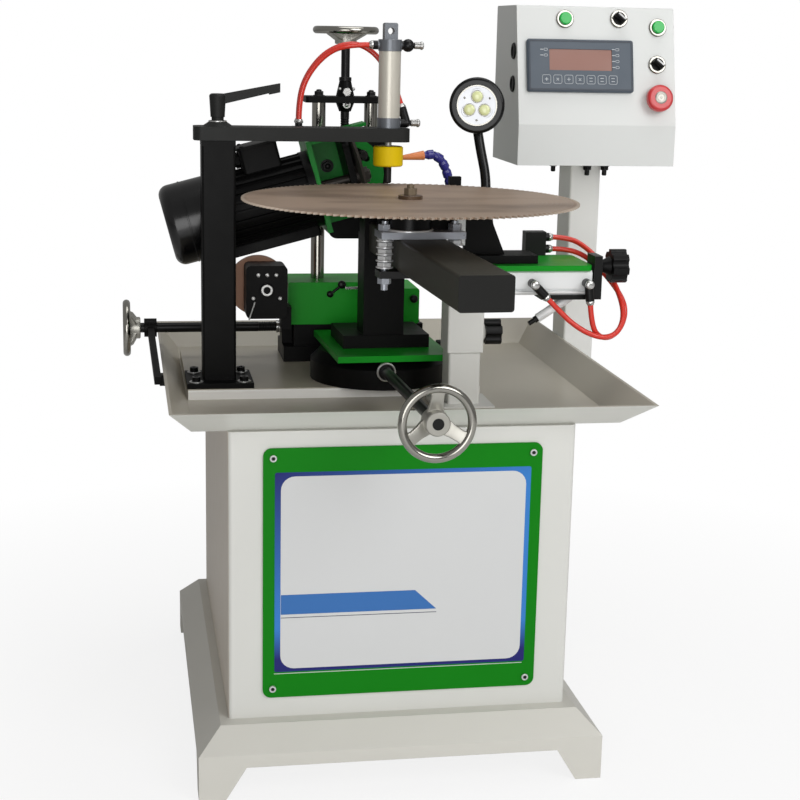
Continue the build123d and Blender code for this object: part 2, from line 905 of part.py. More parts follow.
# Slide plate with the nut below it
plate = block(plate_centre - plate_width / 2, plate_centre + plate_width / 2, plate_front, plate_rear,
              plate_bottom, plate_top)
nut_half = nut_width / 2 - slide_gap
plate += block(cross_screw_x - nut_half, cross_screw_x + nut_half, nut_front, nut_rear, nut_bottom,
               plate_bottom)
plate -= rod_along_y(nut_front - cut_over, nut_rear + cut_over, cross_screw_x, cross_screw_z, screw_bore)
nodes["slide_plate"] = on_table(plate)

# Support column on its slide block, narrower at the top where it backs the blade
block_top = plate_top + block_height
anvil_top = blade_bottom - anvil_gap
support = block(support_offset - block_width / 2, support_offset + block_width / 2, block_front, block_rear,
                plate_top, block_top)
support_left = support_offset - support_width / 2
support_right = support_offset + support_width / 2 - support_cut
support += block(support_left, support_right, support_front, support_front + support_depth, block_top,
                 anvil_top - anvil_height)
support += block(support_left, support_right, support_front, support_front + anvil_depth,
                 anvil_top - anvil_height, anvil_top)
nodes["support_column"] = on_table(support)

# Beam: rectangular tube with a closed front end
beam_left = beam_offset - beam_width / 2
beam_right = beam_offset + beam_width / 2
beam_bottom = beam_top - beam_height
beam = block(beam_left, beam_right, beam_end, support_front, beam_bottom, beam_top)
beam = fillet(beam.edges().filter_by(Axis.Y), beam_edge)
beam -= block(beam_left + beam_wall, beam_right - beam_wall, beam_end + beam_wall, support_front + cut_over,
              beam_bottom + beam_wall, beam_top - beam_wall)
nodes["beam"] = on_table(beam)

# Arbor carriage: clamp bars above and below the beam, drawn together by two bolts, with the arbor bearing
saddle_bottom = beam_top + slide_gap
saddle_top = saddle_bottom + clamp_thickness
half_clamp = clamp_length / 2
keeper_top = beam_bottom - slide_gap
keeper_bottom = keeper_top - clamp_thickness
saddle = block(beam_offset - half_clamp, beam_offset + half_clamp, arbor_y - clamp_depth / 2,
               arbor_y + clamp_depth / 2, saddle_bottom, saddle_top)
keeper = block(beam_offset - half_clamp, beam_offset + half_clamp, arbor_y - lower_clamp_depth / 2,
               arbor_y + lower_clamp_depth / 2, keeper_bottom, keeper_top)
carrier = saddle + keeper
bearing_top = blade_bottom - arbor_flange_thickness - slide_gap
carrier += rod_along_z(saddle_top, bearing_top, arbor_x, arbor_y, bearing_diameter)
carrier -= rod_along_z(saddle_top, bearing_top + cut_over, arbor_x, arbor_y, arbor_journal + 2 * running_fit)
for side in (-1, 1):
    x = beam_offset + side * clamp_bolt_pitch / 2
    carrier += rod_along_z(keeper_bottom - 2 * clamp_nut_height, saddle_top + 1.5 * clamp_nut_height, x,
                           arbor_y, clamp_bolt)
    carrier += hexagon_along_z(saddle_top, saddle_top + clamp_nut_height, x, arbor_y, clamp_nut)
    carrier += hexagon_along_z(keeper_bottom - clamp_nut_height, keeper_bottom, x, arbor_y, clamp_nut)
nodes["arbor_carriage"] = on_table(carrier)

# Arbor: journal, flange, pilot, washer and nut
arbor = rod_along_z(saddle_top + slide_gap, bearing_top + slide_gap, arbor_x, arbor_y, arbor_journal)
arbor += rod_along_z(bearing_top + slide_gap, blade_bottom, arbor_x, arbor_y, arbor_flange)
arbor += rod_along_z(blade_bottom, blade_top, arbor_x, arbor_y, blade_bore - 2 * running_fit)
washer_top = blade_top + arbor_washer_thickness
arbor += rod_along_z(blade_top, washer_top, arbor_x, arbor_y, arbor_washer)
arbor += hexagon_along_z(washer_top, washer_top + arbor_nut_height, arbor_x, arbor_y, arbor_nut)
arbor += rod_along_z(washer_top, washer_top + 1.5 * arbor_nut_height, arbor_x, arbor_y, arbor_thread)
nodes["arbor"] = on_table(arbor)


# Saw blade: each tooth has a hooked face, a narrow land and a sloping back
def polar(radius, angle):
    return (radius * cos(angle), radius * sin(angle))


tooth_pitch = 2 * pi / tooth_count
root_radius = blade_radius - tooth_depth
hook_angle = tooth_hook * tooth_depth / blade_radius
rim = []
for tooth in range(tooth_count):
    tip = tooth * tooth_pitch
    rim.append(polar(root_radius, tip - hook_angle))
    rim.append(polar(blade_radius, tip))
    rim.append(polar(blade_radius - tooth_land * tooth_depth, tip + tooth_land * tooth_pitch))
    rim.append(polar(root_radius, tip + tooth_back * tooth_pitch))
blade_face = make_face(Polyline(*rim, close=True)) - Circle(blade_bore / 2)
blade = extrude(blade_face, amount=blade_thickness)
nodes["saw_blade"] = on_table(Pos(arbor_x, arbor_y, blade_bottom) * blade)

# Cross screw with its thrust collar, and the front handwheel
cross_screw = rod_along_y(front_wheel_y - wheel_hub_length, screw_end, cross_screw_x, cross_screw_z,
                          screw_diameter)
cross_screw += rod_along_y(-base_radius - collar_length, -base_radius - slide_gap, cross_screw_x,
                           cross_screw_z, collar_diameter)
nodes["cross_screw"] = on_table(cross_screw)
wheel_bore_fit = screw_diameter + 2 * running_fit
nodes["front_handwheel"] = on_table(
    Pos(cross_screw_x, front_wheel_y, cross_screw_z) * Rot(90, 0, 0) * handwheel(front_wheel, wheel_bore_fit))

# Slideway: base, two rails and a bearing lug at each end of the feed screw
way_top = bed_top + way_height
rail_top = way_top + rail_height
way = block(way_left, way_right, way_front, way_rear, bed_top, way_top)
rail_left = way_left + lug_length
for y0 in (way_front + rail_inset, way_rear - rail_inset - rail_width):
    way += block(rail_left, way_right, y0, y0 + rail_width, way_top, rail_top)
lug_top = rail_top - slide_gap
for x0 in (way_left, way_right - lug_length):
    way += block(x0, x0 + lug_length, feed_y - lug_width_side, feed_y + lug_width_side, way_top, lug_top)
way -= rod_along_x(way_left - cut_over, way_right + cut_over, feed_y, feed_z, screw_bore)

# Slanted bracket that carries the outer end of the feed screw from the left wall of the tray
wall_slope = (rim_left - floor_left) / tray_height
grip_top = tray_height - bracket_below_rim
grip_bottom = grip_top - bracket_grip


def wall_x(height):
    return floor_left + wall_slope * height


foot_profile = Polygon(
    (wall_x(grip_top), cabinet_top + grip_top),
    (wall_x(grip_bottom), cabinet_top + grip_bottom),
    (wall_x(grip_bottom) - 2 * bracket_thickness, cabinet_top + grip_bottom),
    (wall_x(grip_top) - bracket_thickness, cabinet_top + grip_top),
    align=None)
bracket_foot = extrude(Plane.XZ * foot_profile, amount=bracket_width)
bracket = Pos(0, bracket_foot_y + bracket_width / 2, 0) * bracket_foot
bar_start = Vector(bracket_x, feed_y, feed_z)
bar_end_z = cabinet_top + grip_top - bracket_bar / 2
bar_end = Vector(wall_x(grip_top) - bracket_thickness, bracket_foot_y, bar_end_z)
bar_plane = Plane(origin=bar_start, x_dir=(1, 0, 0), z_dir=bar_end - bar_start)
bar_length = (bar_end - bar_start).length
bracket += bar_plane * Pos(0, 0, bar_length / 2) * Box(bracket_thickness, bracket_bar, bar_length)
bracket += rod_along_x(bracket_x - bracket_thickness, bracket_x + bracket_thickness, feed_y, feed_z,
                       bracket_boss)
bracket -= rod_along_x(bracket_x - bracket_boss, bracket_x + bracket_boss, feed_y, feed_z, screw_bore)
nodes["slideway"] = [way, bracket]

# Feed screw and left handwheel
feed_screw = rod_along_x(left_wheel_x - wheel_hub_length, way_right - feed_screw_stop, feed_y, feed_z,
                         screw_diameter)
side_wheel = Pos(left_wheel_x, feed_y, feed_z) * Rot(0, -90, 0) * handwheel(left_wheel, wheel_bore_fit)
nodes["left_handwheel"] = [side_wheel, feed_screw]

# Carriage block: stepped at the right, with sockets for the guide rods and the feed nut below
carriage_front = way_front + carriage_set_back
carriage_rear = way_rear
block_low = block(carriage_left, carriage_right, carriage_front, carriage_rear, carriage_bottom,
                  carriage_top - carriage_step_drop)
block_high = block(carriage_left, carriage_right - carriage_step, carriage_front, carriage_rear,
                   carriage_bottom, carriage_top)
carriage = fillet((block_low + block_high).edges().filter_by(Axis.Y), carriage_edge)
carriage += block(feed_nut_left, feed_nut_right, feed_y - nut_width / 2, feed_y + nut_width / 2,
                  carriage_bottom - feed_nut_drop, carriage_bottom)
carriage -= rod_along_x(feed_nut_left - cut_over, feed_nut_right + cut_over, feed_y, feed_z, screw_bore)
rod_places = (rod_x - rod_pitch / 2, rod_x + rod_pitch / 2)
socket_bore = rod_diameter + 2 * running_fit
rods = []
rod_top = top_plate_z + top_socket
for x in rod_places:
    carriage -= rod_along_z(rod_bottom, carriage_top + cut_over, x, rod_y, socket_bore)
    rods.append(rod_along_z(rod_bottom, rod_top, x, rod_y, rod_diameter))
nodes["grind_carriage"] = carriage
nodes["guide_rods"] = rods

# Top plate with the bearing of the lift screw
top = block(rod_x - top_width / 2, rod_x + top_width / 2, rod_y - top_depth / 2, rod_y + top_depth / 2,
            top_plate_z, top_plate_z + top_thickness)
top = fillet(top.edges().filter_by(Axis.Z), top_corner)
bearing_low = top_plate_z - top_bearing_below
bearing_high = top_plate_z + top_thickness + top_bearing_above
plate_high = top_plate_z + top_thickness
top += Pos(rod_x, rod_y, (plate_high + bearing_high) / 2) * Cone(top_bearing / 2, top_bearing_end / 2,
                                                                 top_bearing_above)
top += Pos(rod_x, rod_y, (top_plate_z + bearing_low) / 2) * Cone(top_bearing_end / 2, top_bearing / 2,
                                                                 top_bearing_below)
lift_bore = lift_screw + 2 * running_fit
top -= rod_along_z(bearing_low - cut_over, bearing_high + cut_over, rod_x, rod_y, lift_bore)
for x in rod_places:
    top -= rod_along_z(top_plate_z - cut_over, rod_top, x, rod_y, socket_bore)
nodes["top_plate"] = top

# Lift screw and top handwheel
wheel_seat = bearing_high + top_wheel_lift
lift = rod_along_z(carriage_top + lift_screw_start, wheel_seat + wheel_hub_length, rod_x, rod_y, lift_screw)
collar_z = bearing_high + slide_gap
lift += rod_along_z(collar_z, collar_z + lift_collar_height, rod_x, rod_y, lift_collar)
nodes["top_handwheel"] = [Pos(rod_x, rod_y, wheel_seat) * handwheel(top_wheel, lift_bore), lift]

# Head slide on the guide rods
slide = block(rod_x - head_width / 2, rod_x + head_width / 2, head_front, head_front + head_depth,
              head_z - head_slide_height / 2, head_z + head_slide_height / 2)
slide = chamfer(slide.edges().filter_by(Axis.Z), head_chamfer)
for x in rod_places:
    slide -= rod_along_z(head_z - head_slide_height, head_z + head_slide_height, x, rod_y, socket_bore)
slide -= rod_along_z(head_z - head_slide_height, head_z + head_slide_height, rod_x, rod_y, lift_bore)
pin_end = head_front + tilt_pin_length - slide_gap
slide -= rod_along_y(head_front - cut_over, pin_end + slide_gap, rod_x, head_z, tilt_pin + 2 * running_fit)
nodes["head_slide"] = slide

# Motor bracket: open fronted frame on the round tilt plate
tilt_rear = head_front - slide_gap
tilt_front = tilt_rear - tilt_thickness
back_front = tilt_front - back_thickness
frame = block(frame_left, frame_right, back_front, tilt_front, -frame_below, frame_above)
frame += rod_along_y(tilt_front, tilt_rear, 0, 0, 2 * tilt_radius)
arc_slot = SlotArc(CenterArc((0, 0), slot_radius, slot_start, slot_sweep), slot_width)
frame -= Pos(0, tilt_rear + cut_over, 0) * extrude(Plane.XZ * arc_slot, amount=tilt_thickness + 2 * cut_over)
frame += rod_along_y(tilt_rear, pin_end, 0, 0, tilt_pin)
frame += block(frame_left, frame_left + frame_wall, frame_front, tilt_front, -frame_below, frame_above)
frame += block(frame_left, frame_right, frame_top_front, tilt_front, frame_above - frame_wall, frame_above)
frame += block(frame_right - cut_over, guard_right, guard_front, tilt_front, frame_above - guard_thickness,
               frame_above)
frame -= rod_along_x(frame_left - cut_over, frame_left + frame_wall + cut_over, spindle_y, 0, spindle_hole)
nodes["motor_bracket"] = on_head(frame)
bearing_plate = block(frame_right - spindle_plate_thickness, frame_right, spindle_plate_front, back_front,
                      -spindle_plate_below, spindle_plate_above)
bearing_plate = fillet(bearing_plate.edges().filter_by(Axis.X).group_by(Axis.Y)[0], spindle_plate_round)
bearing_plate -= rod_along_x(frame_left, frame_right + cut_over, spindle_y, 0,
                             spindle_diameter + 2 * running_fit)
nodes["spindle_plate"] = on_head(bearing_plate)

# Motor: finned body, fan cowl and terminal box
motor_rear = frame_left - motor_length
motor = rod_along_x(motor_rear, frame_left, spindle_y, 0, 2 * motor_core)
motor += rod_along_x(frame_left - motor_flange, frame_left, spindle_y, 0, 2 * motor_radius)
motor += rod_along_x(motor_rear, motor_rear + motor_flange, spindle_y, 0, 2 * motor_radius)
fin = Box(motor_length, fin_width, motor_radius - motor_core + fin_root)
for turn in range(fin_count):
    around = Pos((motor_rear + frame_left) / 2, spindle_y, 0) * Rot(360 * turn / fin_count, 0, 0)
    motor += around * Pos(0, 0, (motor_radius + motor_core) / 2 - fin_root) * fin
cowl_end = motor_rear + cowl_overlap - cowl_length
cowl = rod_along_x(cowl_end, cowl_end + cowl_length, spindle_y, 0, 2 * cowl_radius)
cowl = fillet(cowl.edges().filter_by(GeomType.CIRCLE).sort_by(Axis.X)[0], cowl_round)
cowl -= rod_along_x(cowl_end + cowl_round, motor_rear, spindle_y, 0, 2 * (cowl_radius - cowl_sheet))
cowl -= rod_along_x(cowl_end + cowl_sheet, cowl_end + cowl_round, spindle_y, 0,
                    2 * (cowl_radius - cowl_round))
motor_fit = 2 * (motor_radius + running_fit)
cowl -= rod_along_x(motor_rear, motor_rear + cowl_overlap + cut_over, spindle_y, 0, motor_fit)
for vent in GridLocations(1, vent_pitch, 1, vent_count):
    cowl -= Pos(cowl_end, spindle_y, vent.position.Y) * Box(cowl_round, cowl_radius, vent_width)
nodes["motor_cowl"] = on_head(cowl)
terminal = block(terminal_left, terminal_right, spindle_y - terminal_depth / 2,
                 spindle_y + terminal_depth / 2, motor_core / 2, terminal_top)
terminal = fillet(terminal.edges().filter_by(Axis.Z), terminal_edge)
terminal -= rod_along_x(terminal_left - cut_over, terminal_right + cut_over, spindle_y, 0, motor_fit)
nodes["motor_body"] = [on_head(motor), on_head(terminal)]

# Spindle with flanges and nut, and the grinding wheel
wheel_end = wheel_position + wheel_thickness
outer_end = wheel_end + outer_flange_thickness
spindle = rod_along_x(frame_left + spindle_start, outer_end + spindle_nut_height + spindle_end, spindle_y, 0,
                      spindle_diameter)
spindle += rod_along_x(wheel_position - wheel_flange_thickness, wheel_position, spindle_y, 0, wheel_flange)
spindle += rod_along_x(wheel_position, wheel_end, spindle_y, 0, wheel_bore - 2 * running_fit)
spindle += rod_along_x(wheel_end, outer_end, spindle_y, 0, outer_flange)
nut_place = Pos(outer_end, spindle_y, 0) * Rot(0, 90, 0)
spindle += nut_place * hexagon_along_z(0, spindle_nut_height, 0, 0, spindle_nut)
nodes["spindle"] = on_head(spindle)
wheel = rod_along_x(wheel_position, wheel_end, spindle_y, 0, 2 * wheel_radius)
nodes["grinding_wheel"] = on_head(wheel - rod_along_x(0, 2 * wheel_end, spindle_y, 0, wheel_bore))

# Gearbox on its flange beside the carriage, and the offset cam disc behind it
gearbox = block(gearbox_left, gearbox_right, gearbox_front, gearbox_rear, bed_top + gearbox_bottom,
                bed_top + gearbox_top)
gearbox = fillet(gearbox.edges().filter_by(Axis.Y), gearbox_edge)
gearbox += rod_along_y(gearbox_front - ring_length, gearbox_front, cam_x, cam_z, ring_diameter)
gearbox += block(gearbox_right - gearbox_edge, carriage_left, gearbox_front + 2 * gearbox_edge, gearbox_rear,
                 bed_top + flange_low, bed_top + gearbox_bottom + 2 * gearbox_edge)
gearbox += block(gearbox_right, carriage_left, gearbox_rear, flange_rear, bed_top + flange_low,
                 bed_top + flange_high)
shaft_start = gearbox_rear - 2 * cam_shaft
gearbox -= rod_along_y(shaft_start, gearbox_rear + cut_over, cam_x, cam_z, cam_shaft + 2 * running_fit)
nodes["gearbox"] = gearbox
cam_front = gearbox_rear + cam_gap
cam = rod_along_y(cam_front, cam_front + cam_thickness, cam_x + cam_offset, cam_z, 2 * cam_radius)
cam += rod_along_y(shaft_start + slide_gap, cam_front, cam_x, cam_z, cam_shaft)
nodes["cam_disc"] = cam

# Pusher post and the sleeve that slides on it
post = square_tube(post_x, post_y, post_size, post_wall, tray_floor, tray_floor + post_top)
half_post = post_plate / 2
post += block(post_x - half_post, post_x + half_post, post_y - half_post, post_y + half_post, tray_floor,
              tray_floor + post_plate_thickness)
nodes["pusher_post"] = post
sleeve_wall = (sleeve_size - post_size) / 2 - sleeve_play
sleeve_z = tray_floor + sleeve_bottom
sleeve = square_tube(post_x, post_y, sleeve_size, sleeve_wall, sleeve_z, pusher_bottom)
knob_z = tray_floor + knob_height
sleeve_face = post_x + sleeve_size / 2
boss_end = sleeve_face + sleeve_boss_length
sleeve += rod_along_x(sleeve_face - cut_over, boss_end, post_y, knob_z, sleeve_boss)
stud_bore = knob_stud + 2 * running_fit
sleeve -= rod_along_x(post_x + post_size / 2, boss_end + cut_over, post_y, knob_z, stud_bore)
nodes["pusher_sleeve"] = sleeve


def lobed_knob(diameter, length, lobes, lobe):
    # Round knob with scalloped edge, along +Z from its back face.
    knob = Pos(0, 0, length / 2) * Cylinder(diameter / 2, length)
    scallop = Pos(diameter / 2 + lobe / 3, 0, length / 2) * Cylinder(lobe, 2 * length)
    for turn in range(lobes):
        knob -= Rot(0, 0, 360 * turn / lobes) * scallop
    return knob


knob_start = boss_end + slide_gap
sleeve_knob = (Pos(knob_start, post_y, knob_z) * Rot(0, 90, 0)
               * lobed_knob(knob_diameter, knob_length, knob_lobes, knob_lobe))
sleeve_knob += rod_along_x(post_x + post_size / 2 + slide_gap, knob_start, post_y, knob_z, knob_stud)
nodes["sleeve_knob"] = sleeve_knob

# Pusher plate on the sleeve
pusher_width = pusher_right - pusher_left
pusher_depth = pusher_rear - pusher_front
pusher_x = (pusher_left + pusher_right) / 2
pusher_y = (pusher_front + pusher_rear) / 2
nodes["pusher_plate"] = Pos(pusher_x, pusher_y, pusher_bottom) * extrude(
    RectangleRounded(pusher_width, pusher_depth, pusher_corner), amount=pusher_thickness)

# Compact air cylinder below the plate, with a groove along its front
air_bottom = pusher_bottom - air_height
air_rear = air_front + air_depth
air = block(air_left, air_right, air_front, air_rear, air_bottom, pusher_bottom)
air = chamfer(air.edges().filter_by(Axis.X), air_edge)
air_middle = (air_bottom + pusher_bottom) / 2
groove_z = air_bottom + air_groove_height
air -= block(air_left - cut_over, air_right + cut_over, air_front - cut_over, air_front + air_groove,
             groove_z - air_groove_width / 2, groove_z + air_groove_width / 2)
nodes["pusher_cylinder"] = air

# Swivelling elbow fittings of the air cylinder, the left one turned to the right
elbow_y = air_front - fitting_body
elbow_turns = {elbow_one_x: elbow_one_angle, elbow_two_x: elbow_two_angle}
pusher_fittings = []
ports = []
for x, angle in elbow_turns.items():
    swivel = rod_along_y(elbow_y, air_front, x, air_middle, fitting_body)
    leg = Pos(x, elbow_y, air_middle) * Rot(0, 180 - angle, 0)
    swivel += leg * Sphere(fitting_body / 2)
    swivel += leg * Pos(0, 0, elbow_length / 2) * Cylinder(fitting_body / 2, elbow_length)
    pusher_fittings.append(swivel)
    along = Vector(sin(radians(angle)), 0, -cos(radians(angle)))
    ports.append((Vector(x, elbow_y, air_middle) + along * elbow_length, along))

# End bracket at the right end, tapped for the star knob, with a bar and a slanted probe below
end_left = air_right + end_gap
end_right = end_left + end_thickness
end_top = pusher_top + end_above - pusher_thickness
star_y = air_front + end_depth / 2
star_z = pusher_bottom + pusher_thickness / 2
end_bottom = air_bottom - end_bar_height
end_bracket = block(end_left, end_right, air_front, air_front + end_depth, end_bottom, end_top)
end_bracket += block(end_bar_left, end_left, air_front, air_front + end_depth, end_bottom, air_bottom)
end_bracket -= rod_along_x(end_left - cut_over, end_right + cut_over, star_y, star_z,
                           star_stud + 2 * running_fit)
probe = Pos(probe_x, star_y, air_bottom - end_bar_height / 2) * Rot(0, probe_angle, 0)
end_bracket += probe * rod_along_z(-probe_length, 0, 0, 0, probe_diameter)
end_bracket += probe * rod_along_z(-probe_length - probe_tip_length, -probe_length, 0, 0, probe_tip)
pusher_fittings.append(end_bracket)
star_place = Pos(end_right + slide_gap, star_y, star_z) * Rot(0, 90, 0)
star = star_place * Pos(0, 0, star_hub_length / 2) * Cone(star_hub_tip / 2, star_hub / 2, star_hub_length)
star += (star_place * Pos(0, 0, star_hub_length)
         * lobed_knob(star_diameter, star_length, star_lobes, star_lobe))
star += rod_along_x(end_left, end_right + slide_gap, star_y, star_z, star_stud)
nodes["star_knob"] = star

# Pusher carriage: base, slanted upright, rear reaching pawl arm and finger beside the blade rim
upright_top = slide_top + upright_height
carrier_slide = block(slide_left, slide_right, slide_front, slide_rear, slide_bottom, slide_top)
upright_profile = Polygon((upright_left, slide_top), (upright_right, slide_top),
                          (upright_top_right, upright_top), (upright_left, upright_top), align=None)
upright = extrude(Plane.XZ * upright_profile, amount=upright_thickness)
upright_rear = upright_y + upright_thickness
carrier_slide += Pos(0, upright_rear, 0) * upright
carrier_slide += block(bar_left, upright_left, upright_y, upright_rear, slide_top + slide_thickness,
                       upright_top)
pawl_bottom = upright_top - pawl_thickness
carrier_slide += block(pawl_left, pawl_right, upright_y, pawl_rear, pawl_bottom, upright_top)
carrier_slide += block(pawl_left, pawl_right, pawl_rear - finger_depth, pawl_rear, upright_top,
                       pawl_bottom + finger_height + pawl_thickness)
carrier_slide += block(slide_left - pawl_thickness, slide_left + pawl_thickness, upright_y, upright_rear,
                       slide_bottom, slide_top + slide_thickness)
nodes["pusher_carriage"] = carrier_slide

# Union behind the pusher plate and its two hoses
rear_union_right = rear_union_left + rear_union_width
rear_union = block(rear_union_left, rear_union_right, pusher_rear - rear_union_seat,
                   pusher_rear + rear_union_over, pusher_top, pusher_top + 2 * union_height)
rear_y = pusher_rear + (rear_union_over - rear_union_seat) / 2
rear_port = rear_union_right + fitting_body / 2
hose_low_z = pusher_top + union_height / 2
hose_high_z = pusher_top + 1.5 * union_height
for z in (hose_low_z, hose_high_z):
    rear_union += rod_along_x(rear_union_left + cut_over, rear_port, rear_y, z, fitting_body)
pusher_fittings.append(rear_union)
nodes["pusher_fittings"] = pusher_fittings
first_start, first_along = ports[0]
second_start, second_along = ports[1]
first_route = [
    first_start,
    first_start + first_along * 28,
    first_start + Vector(41, -2, -40),
    first_start + Vector(67, -4, -56),
    first_start + Vector(94, -2, -63),
    first_start + Vector(117, 7, -55),
    first_start + Vector(129, 24, -31),
    first_start + Vector(126, 51, 1),
    first_start + Vector(112, 81, 32),
    Vector(rear_port + 55, rear_y - 20, hose_high_z - 13),
    Vector(rear_port + 30, rear_y, hose_high_z),
    Vector(rear_port, rear_y, hose_high_z),
]
second_route = [
    second_start,
    second_start + second_along * 24,
    second_start + Vector(12, 1, -44),
    second_start + Vector(29, 6, -56),
    second_start + Vector(49, 16, -53),
    second_start + Vector(60, 32, -32),
    second_start + Vector(60, 59, -2),
    second_start + Vector(46, 88, 29),
    Vector(rear_port + 56, rear_y - 15, hose_low_z - 9),
    Vector(rear_port + 30, rear_y, hose_low_z),
    Vector(rear_port, rear_y, hose_low_z),
]
nodes["pusher_hoses"] = [hose(first_route, hose_diameter), hose(second_route, hose_diameter)]

# Lamp: base, gooseneck, bell shaped head and a lens plate with round lights
lamp_base_top = pusher_top + lamp_base_height
lamp_ball_z = lamp_base_top - lamp_base / 4
lamp = rod_along_z(pusher_top, lamp_ball_z, lamp_x, lamp_y, lamp_base)
lamp += Pos(lamp_x, lamp_y, lamp_ball_z) * Sphere(lamp_base / 2)
head_place = Pos(lamp_head_x, lamp_head_y, bed_top + lamp_head_height)
head_place = head_place * Rot(0, 0, -lamp_turn) * Rot(90 - lamp_tip, 0, 0)
bell = Pos(0, 0, -lamp_head_depth / 2) * Cylinder(lamp_head_diameter / 2, lamp_head_depth)
bell = chamfer(bell.edges().filter_by(GeomType.CIRCLE).sort_by(Axis.Z)[0], lamp_head_depth / 2)
bell = fillet(bell.edges().filter_by(GeomType.CIRCLE).sort_by(Axis.Z)[-1], lamp_head_round)
bell += Pos(0, 0, -lamp_head_depth - lamp_back / 4) * Cylinder(lamp_back / 2, lamp_back / 2)
bell -= Pos(0, 0, -lens_recess / 2) * Cylinder(lens_diameter / 2 + 2 * screw_play, lens_recess)
lamp_back_point = head_place * Pos(0, 0, -lamp_head_depth - lamp_back / 4)
back = lamp_back_point.position
neck_route = [
    (lamp_x, lamp_y, lamp_ball_z),
    (lamp_x + 1, lamp_y + 30, lamp_ball_z + 39),
    (lamp_x + 2, lamp_y + 52, lamp_ball_z + 69),
    (lamp_x + 3, lamp_y + 65, lamp_ball_z + 103),
    (back.X + 5, back.Y - 8, back.Z - 62),
    (back.X, back.Y, back.Z - 26),
    (back.X, back.Y, back.Z),
]
lamp += hose(neck_route, neck_size)
nodes["lamp"] = lamp + head_place * bell
lens = Pos(0, 0, -lens_recess + lens_thickness / 2) * Cylinder(lens_diameter / 2, lens_thickness)
for turn in range(led_count):
    lens += (Rot(0, 0, 90 + 360 * turn / led_count) * Pos(led_ring, 0, -lens_recess + lens_thickness)
             * Cylinder(led_diameter / 2, lens_thickness))
nodes["lamp_lens"] = head_place * lens

# Coolant: riser on the bed, segmented hose and nozzle
riser = block(coolant_x - coolant_base / 2, coolant_x + coolant_base / 2, coolant_y - coolant_base / 2,
              coolant_y + coolant_base / 2, bed_top, bed_top + coolant_base_height)
coolant_pipe_top = bed_top + coolant_pipe_height
riser += rod_along_z(bed_top, coolant_pipe_top, coolant_x, coolant_y, coolant_pipe)
coolant_route = FilletPolyline(
    (coolant_x, coolant_y, coolant_pipe_top),
    (coolant_x, coolant_y - 1, coolant_pipe_top + 43),
    (coolant_x - 8, coolant_y - 11, coolant_pipe_top + 93),
    (coolant_x - 22, coolant_y - 21, coolant_pipe_top + 129),
    (coolant_x - 38, coolant_y - 24, coolant_pipe_top + 141),
    (coolant_x - 54, coolant_y - 25, coolant_pipe_top + 138),
    radius=[100, 100, 27, 17])
segment_count = round(coolant_route.length / segment_pitch)
segment_length = coolant_route.length / segment_count
segment_end = segment_length - segment_gap
segment_profile = Polygon(
    (0, 0),
    (segment_large / 2, 0),
    (segment_large / 2, segment_length * segment_waist),
    (segment_small / 2, segment_length * segment_neck),
    (segment_small / 2, segment_end),
    (0, segment_end),
    align=None)
segment = revolve(Plane.XZ * segment_profile, Axis.Z)
segments = []
for index in range(segment_count):
    start = coolant_route @ (index / segment_count)
    end = coolant_route @ ((index + 1) / segment_count)
    segments.append(Plane(origin=start, z_dir=end - start) * segment)
nodes["coolant_hose"] = [riser] + segments
last_start = coolant_route @ (1 - 1 / segment_count)
nozzle_place = Plane(origin=last_start, z_dir=coolant_route @ 1 - last_start)
nodes["coolant_nozzle"] = nozzle_place * Pos(0, 0, segment_end + nozzle_length / 2) * Cone(
    segment_large / 2, nozzle_tip / 2, nozzle_length)

# Control box post: tube with a top flange, carried by an arm from the cabinet side
box_post_right = box_post_left + box_post_width
post_flange_bottom = box_bottom - post_flange
box_post = block(box_post_left, box_post_right, box_post_front, box_rear, box_post_bottom, post_flange_bottom)
box_post = fillet(box_post.edges().filter_by(Axis.Z), box_post_wall)
box_post -= block(box_post_left + box_post_wall, box_post_right - box_post_wall,
                  box_post_front + box_post_wall, box_rear - box_post_wall, box_post_bottom + box_post_wall,
                  post_flange_bottom)
box_post += block(box_post_left - post_flange_reach, box_post_right + post_flange_reach,
                  box_post_front - post_flange_reach, box_rear, post_flange_bottom,
                  box_bottom)
arm_y = (box_post_front + box_rear) / 2
half_arm = post_arm_depth / 2
box_post += block(half_width, box_post_left, arm_y - half_arm, arm_y + half_arm, box_post_bottom,
                  box_post_bottom + post_arm_height)
box_post += block(half_width, half_width + post_flange, arm_y - 1.5 * half_arm, arm_y + 1.5 * half_arm,
                  box_post_bottom - 2 * post_flange, box_post_bottom + post_arm_height + post_flange)
nodes["box_post"] = box_post

# Control box: folded housing with a leaning front
box_right = box_left + box_width


def box_solid(inset):
    profile = Polygon((box_front, box_bottom), (box_rear, box_bottom), (box_rear, box_top),
                      (box_front + box_lean, box_top), (box_front, box_fold), align=None)
    if inset:
        profile = offset(profile, -inset, kind=Kind.INTERSECTION)
    solid = extrude(Plane.YZ * profile, amount=box_width - 2 * inset)
    return Pos(box_left + inset, 0, 0) * solid


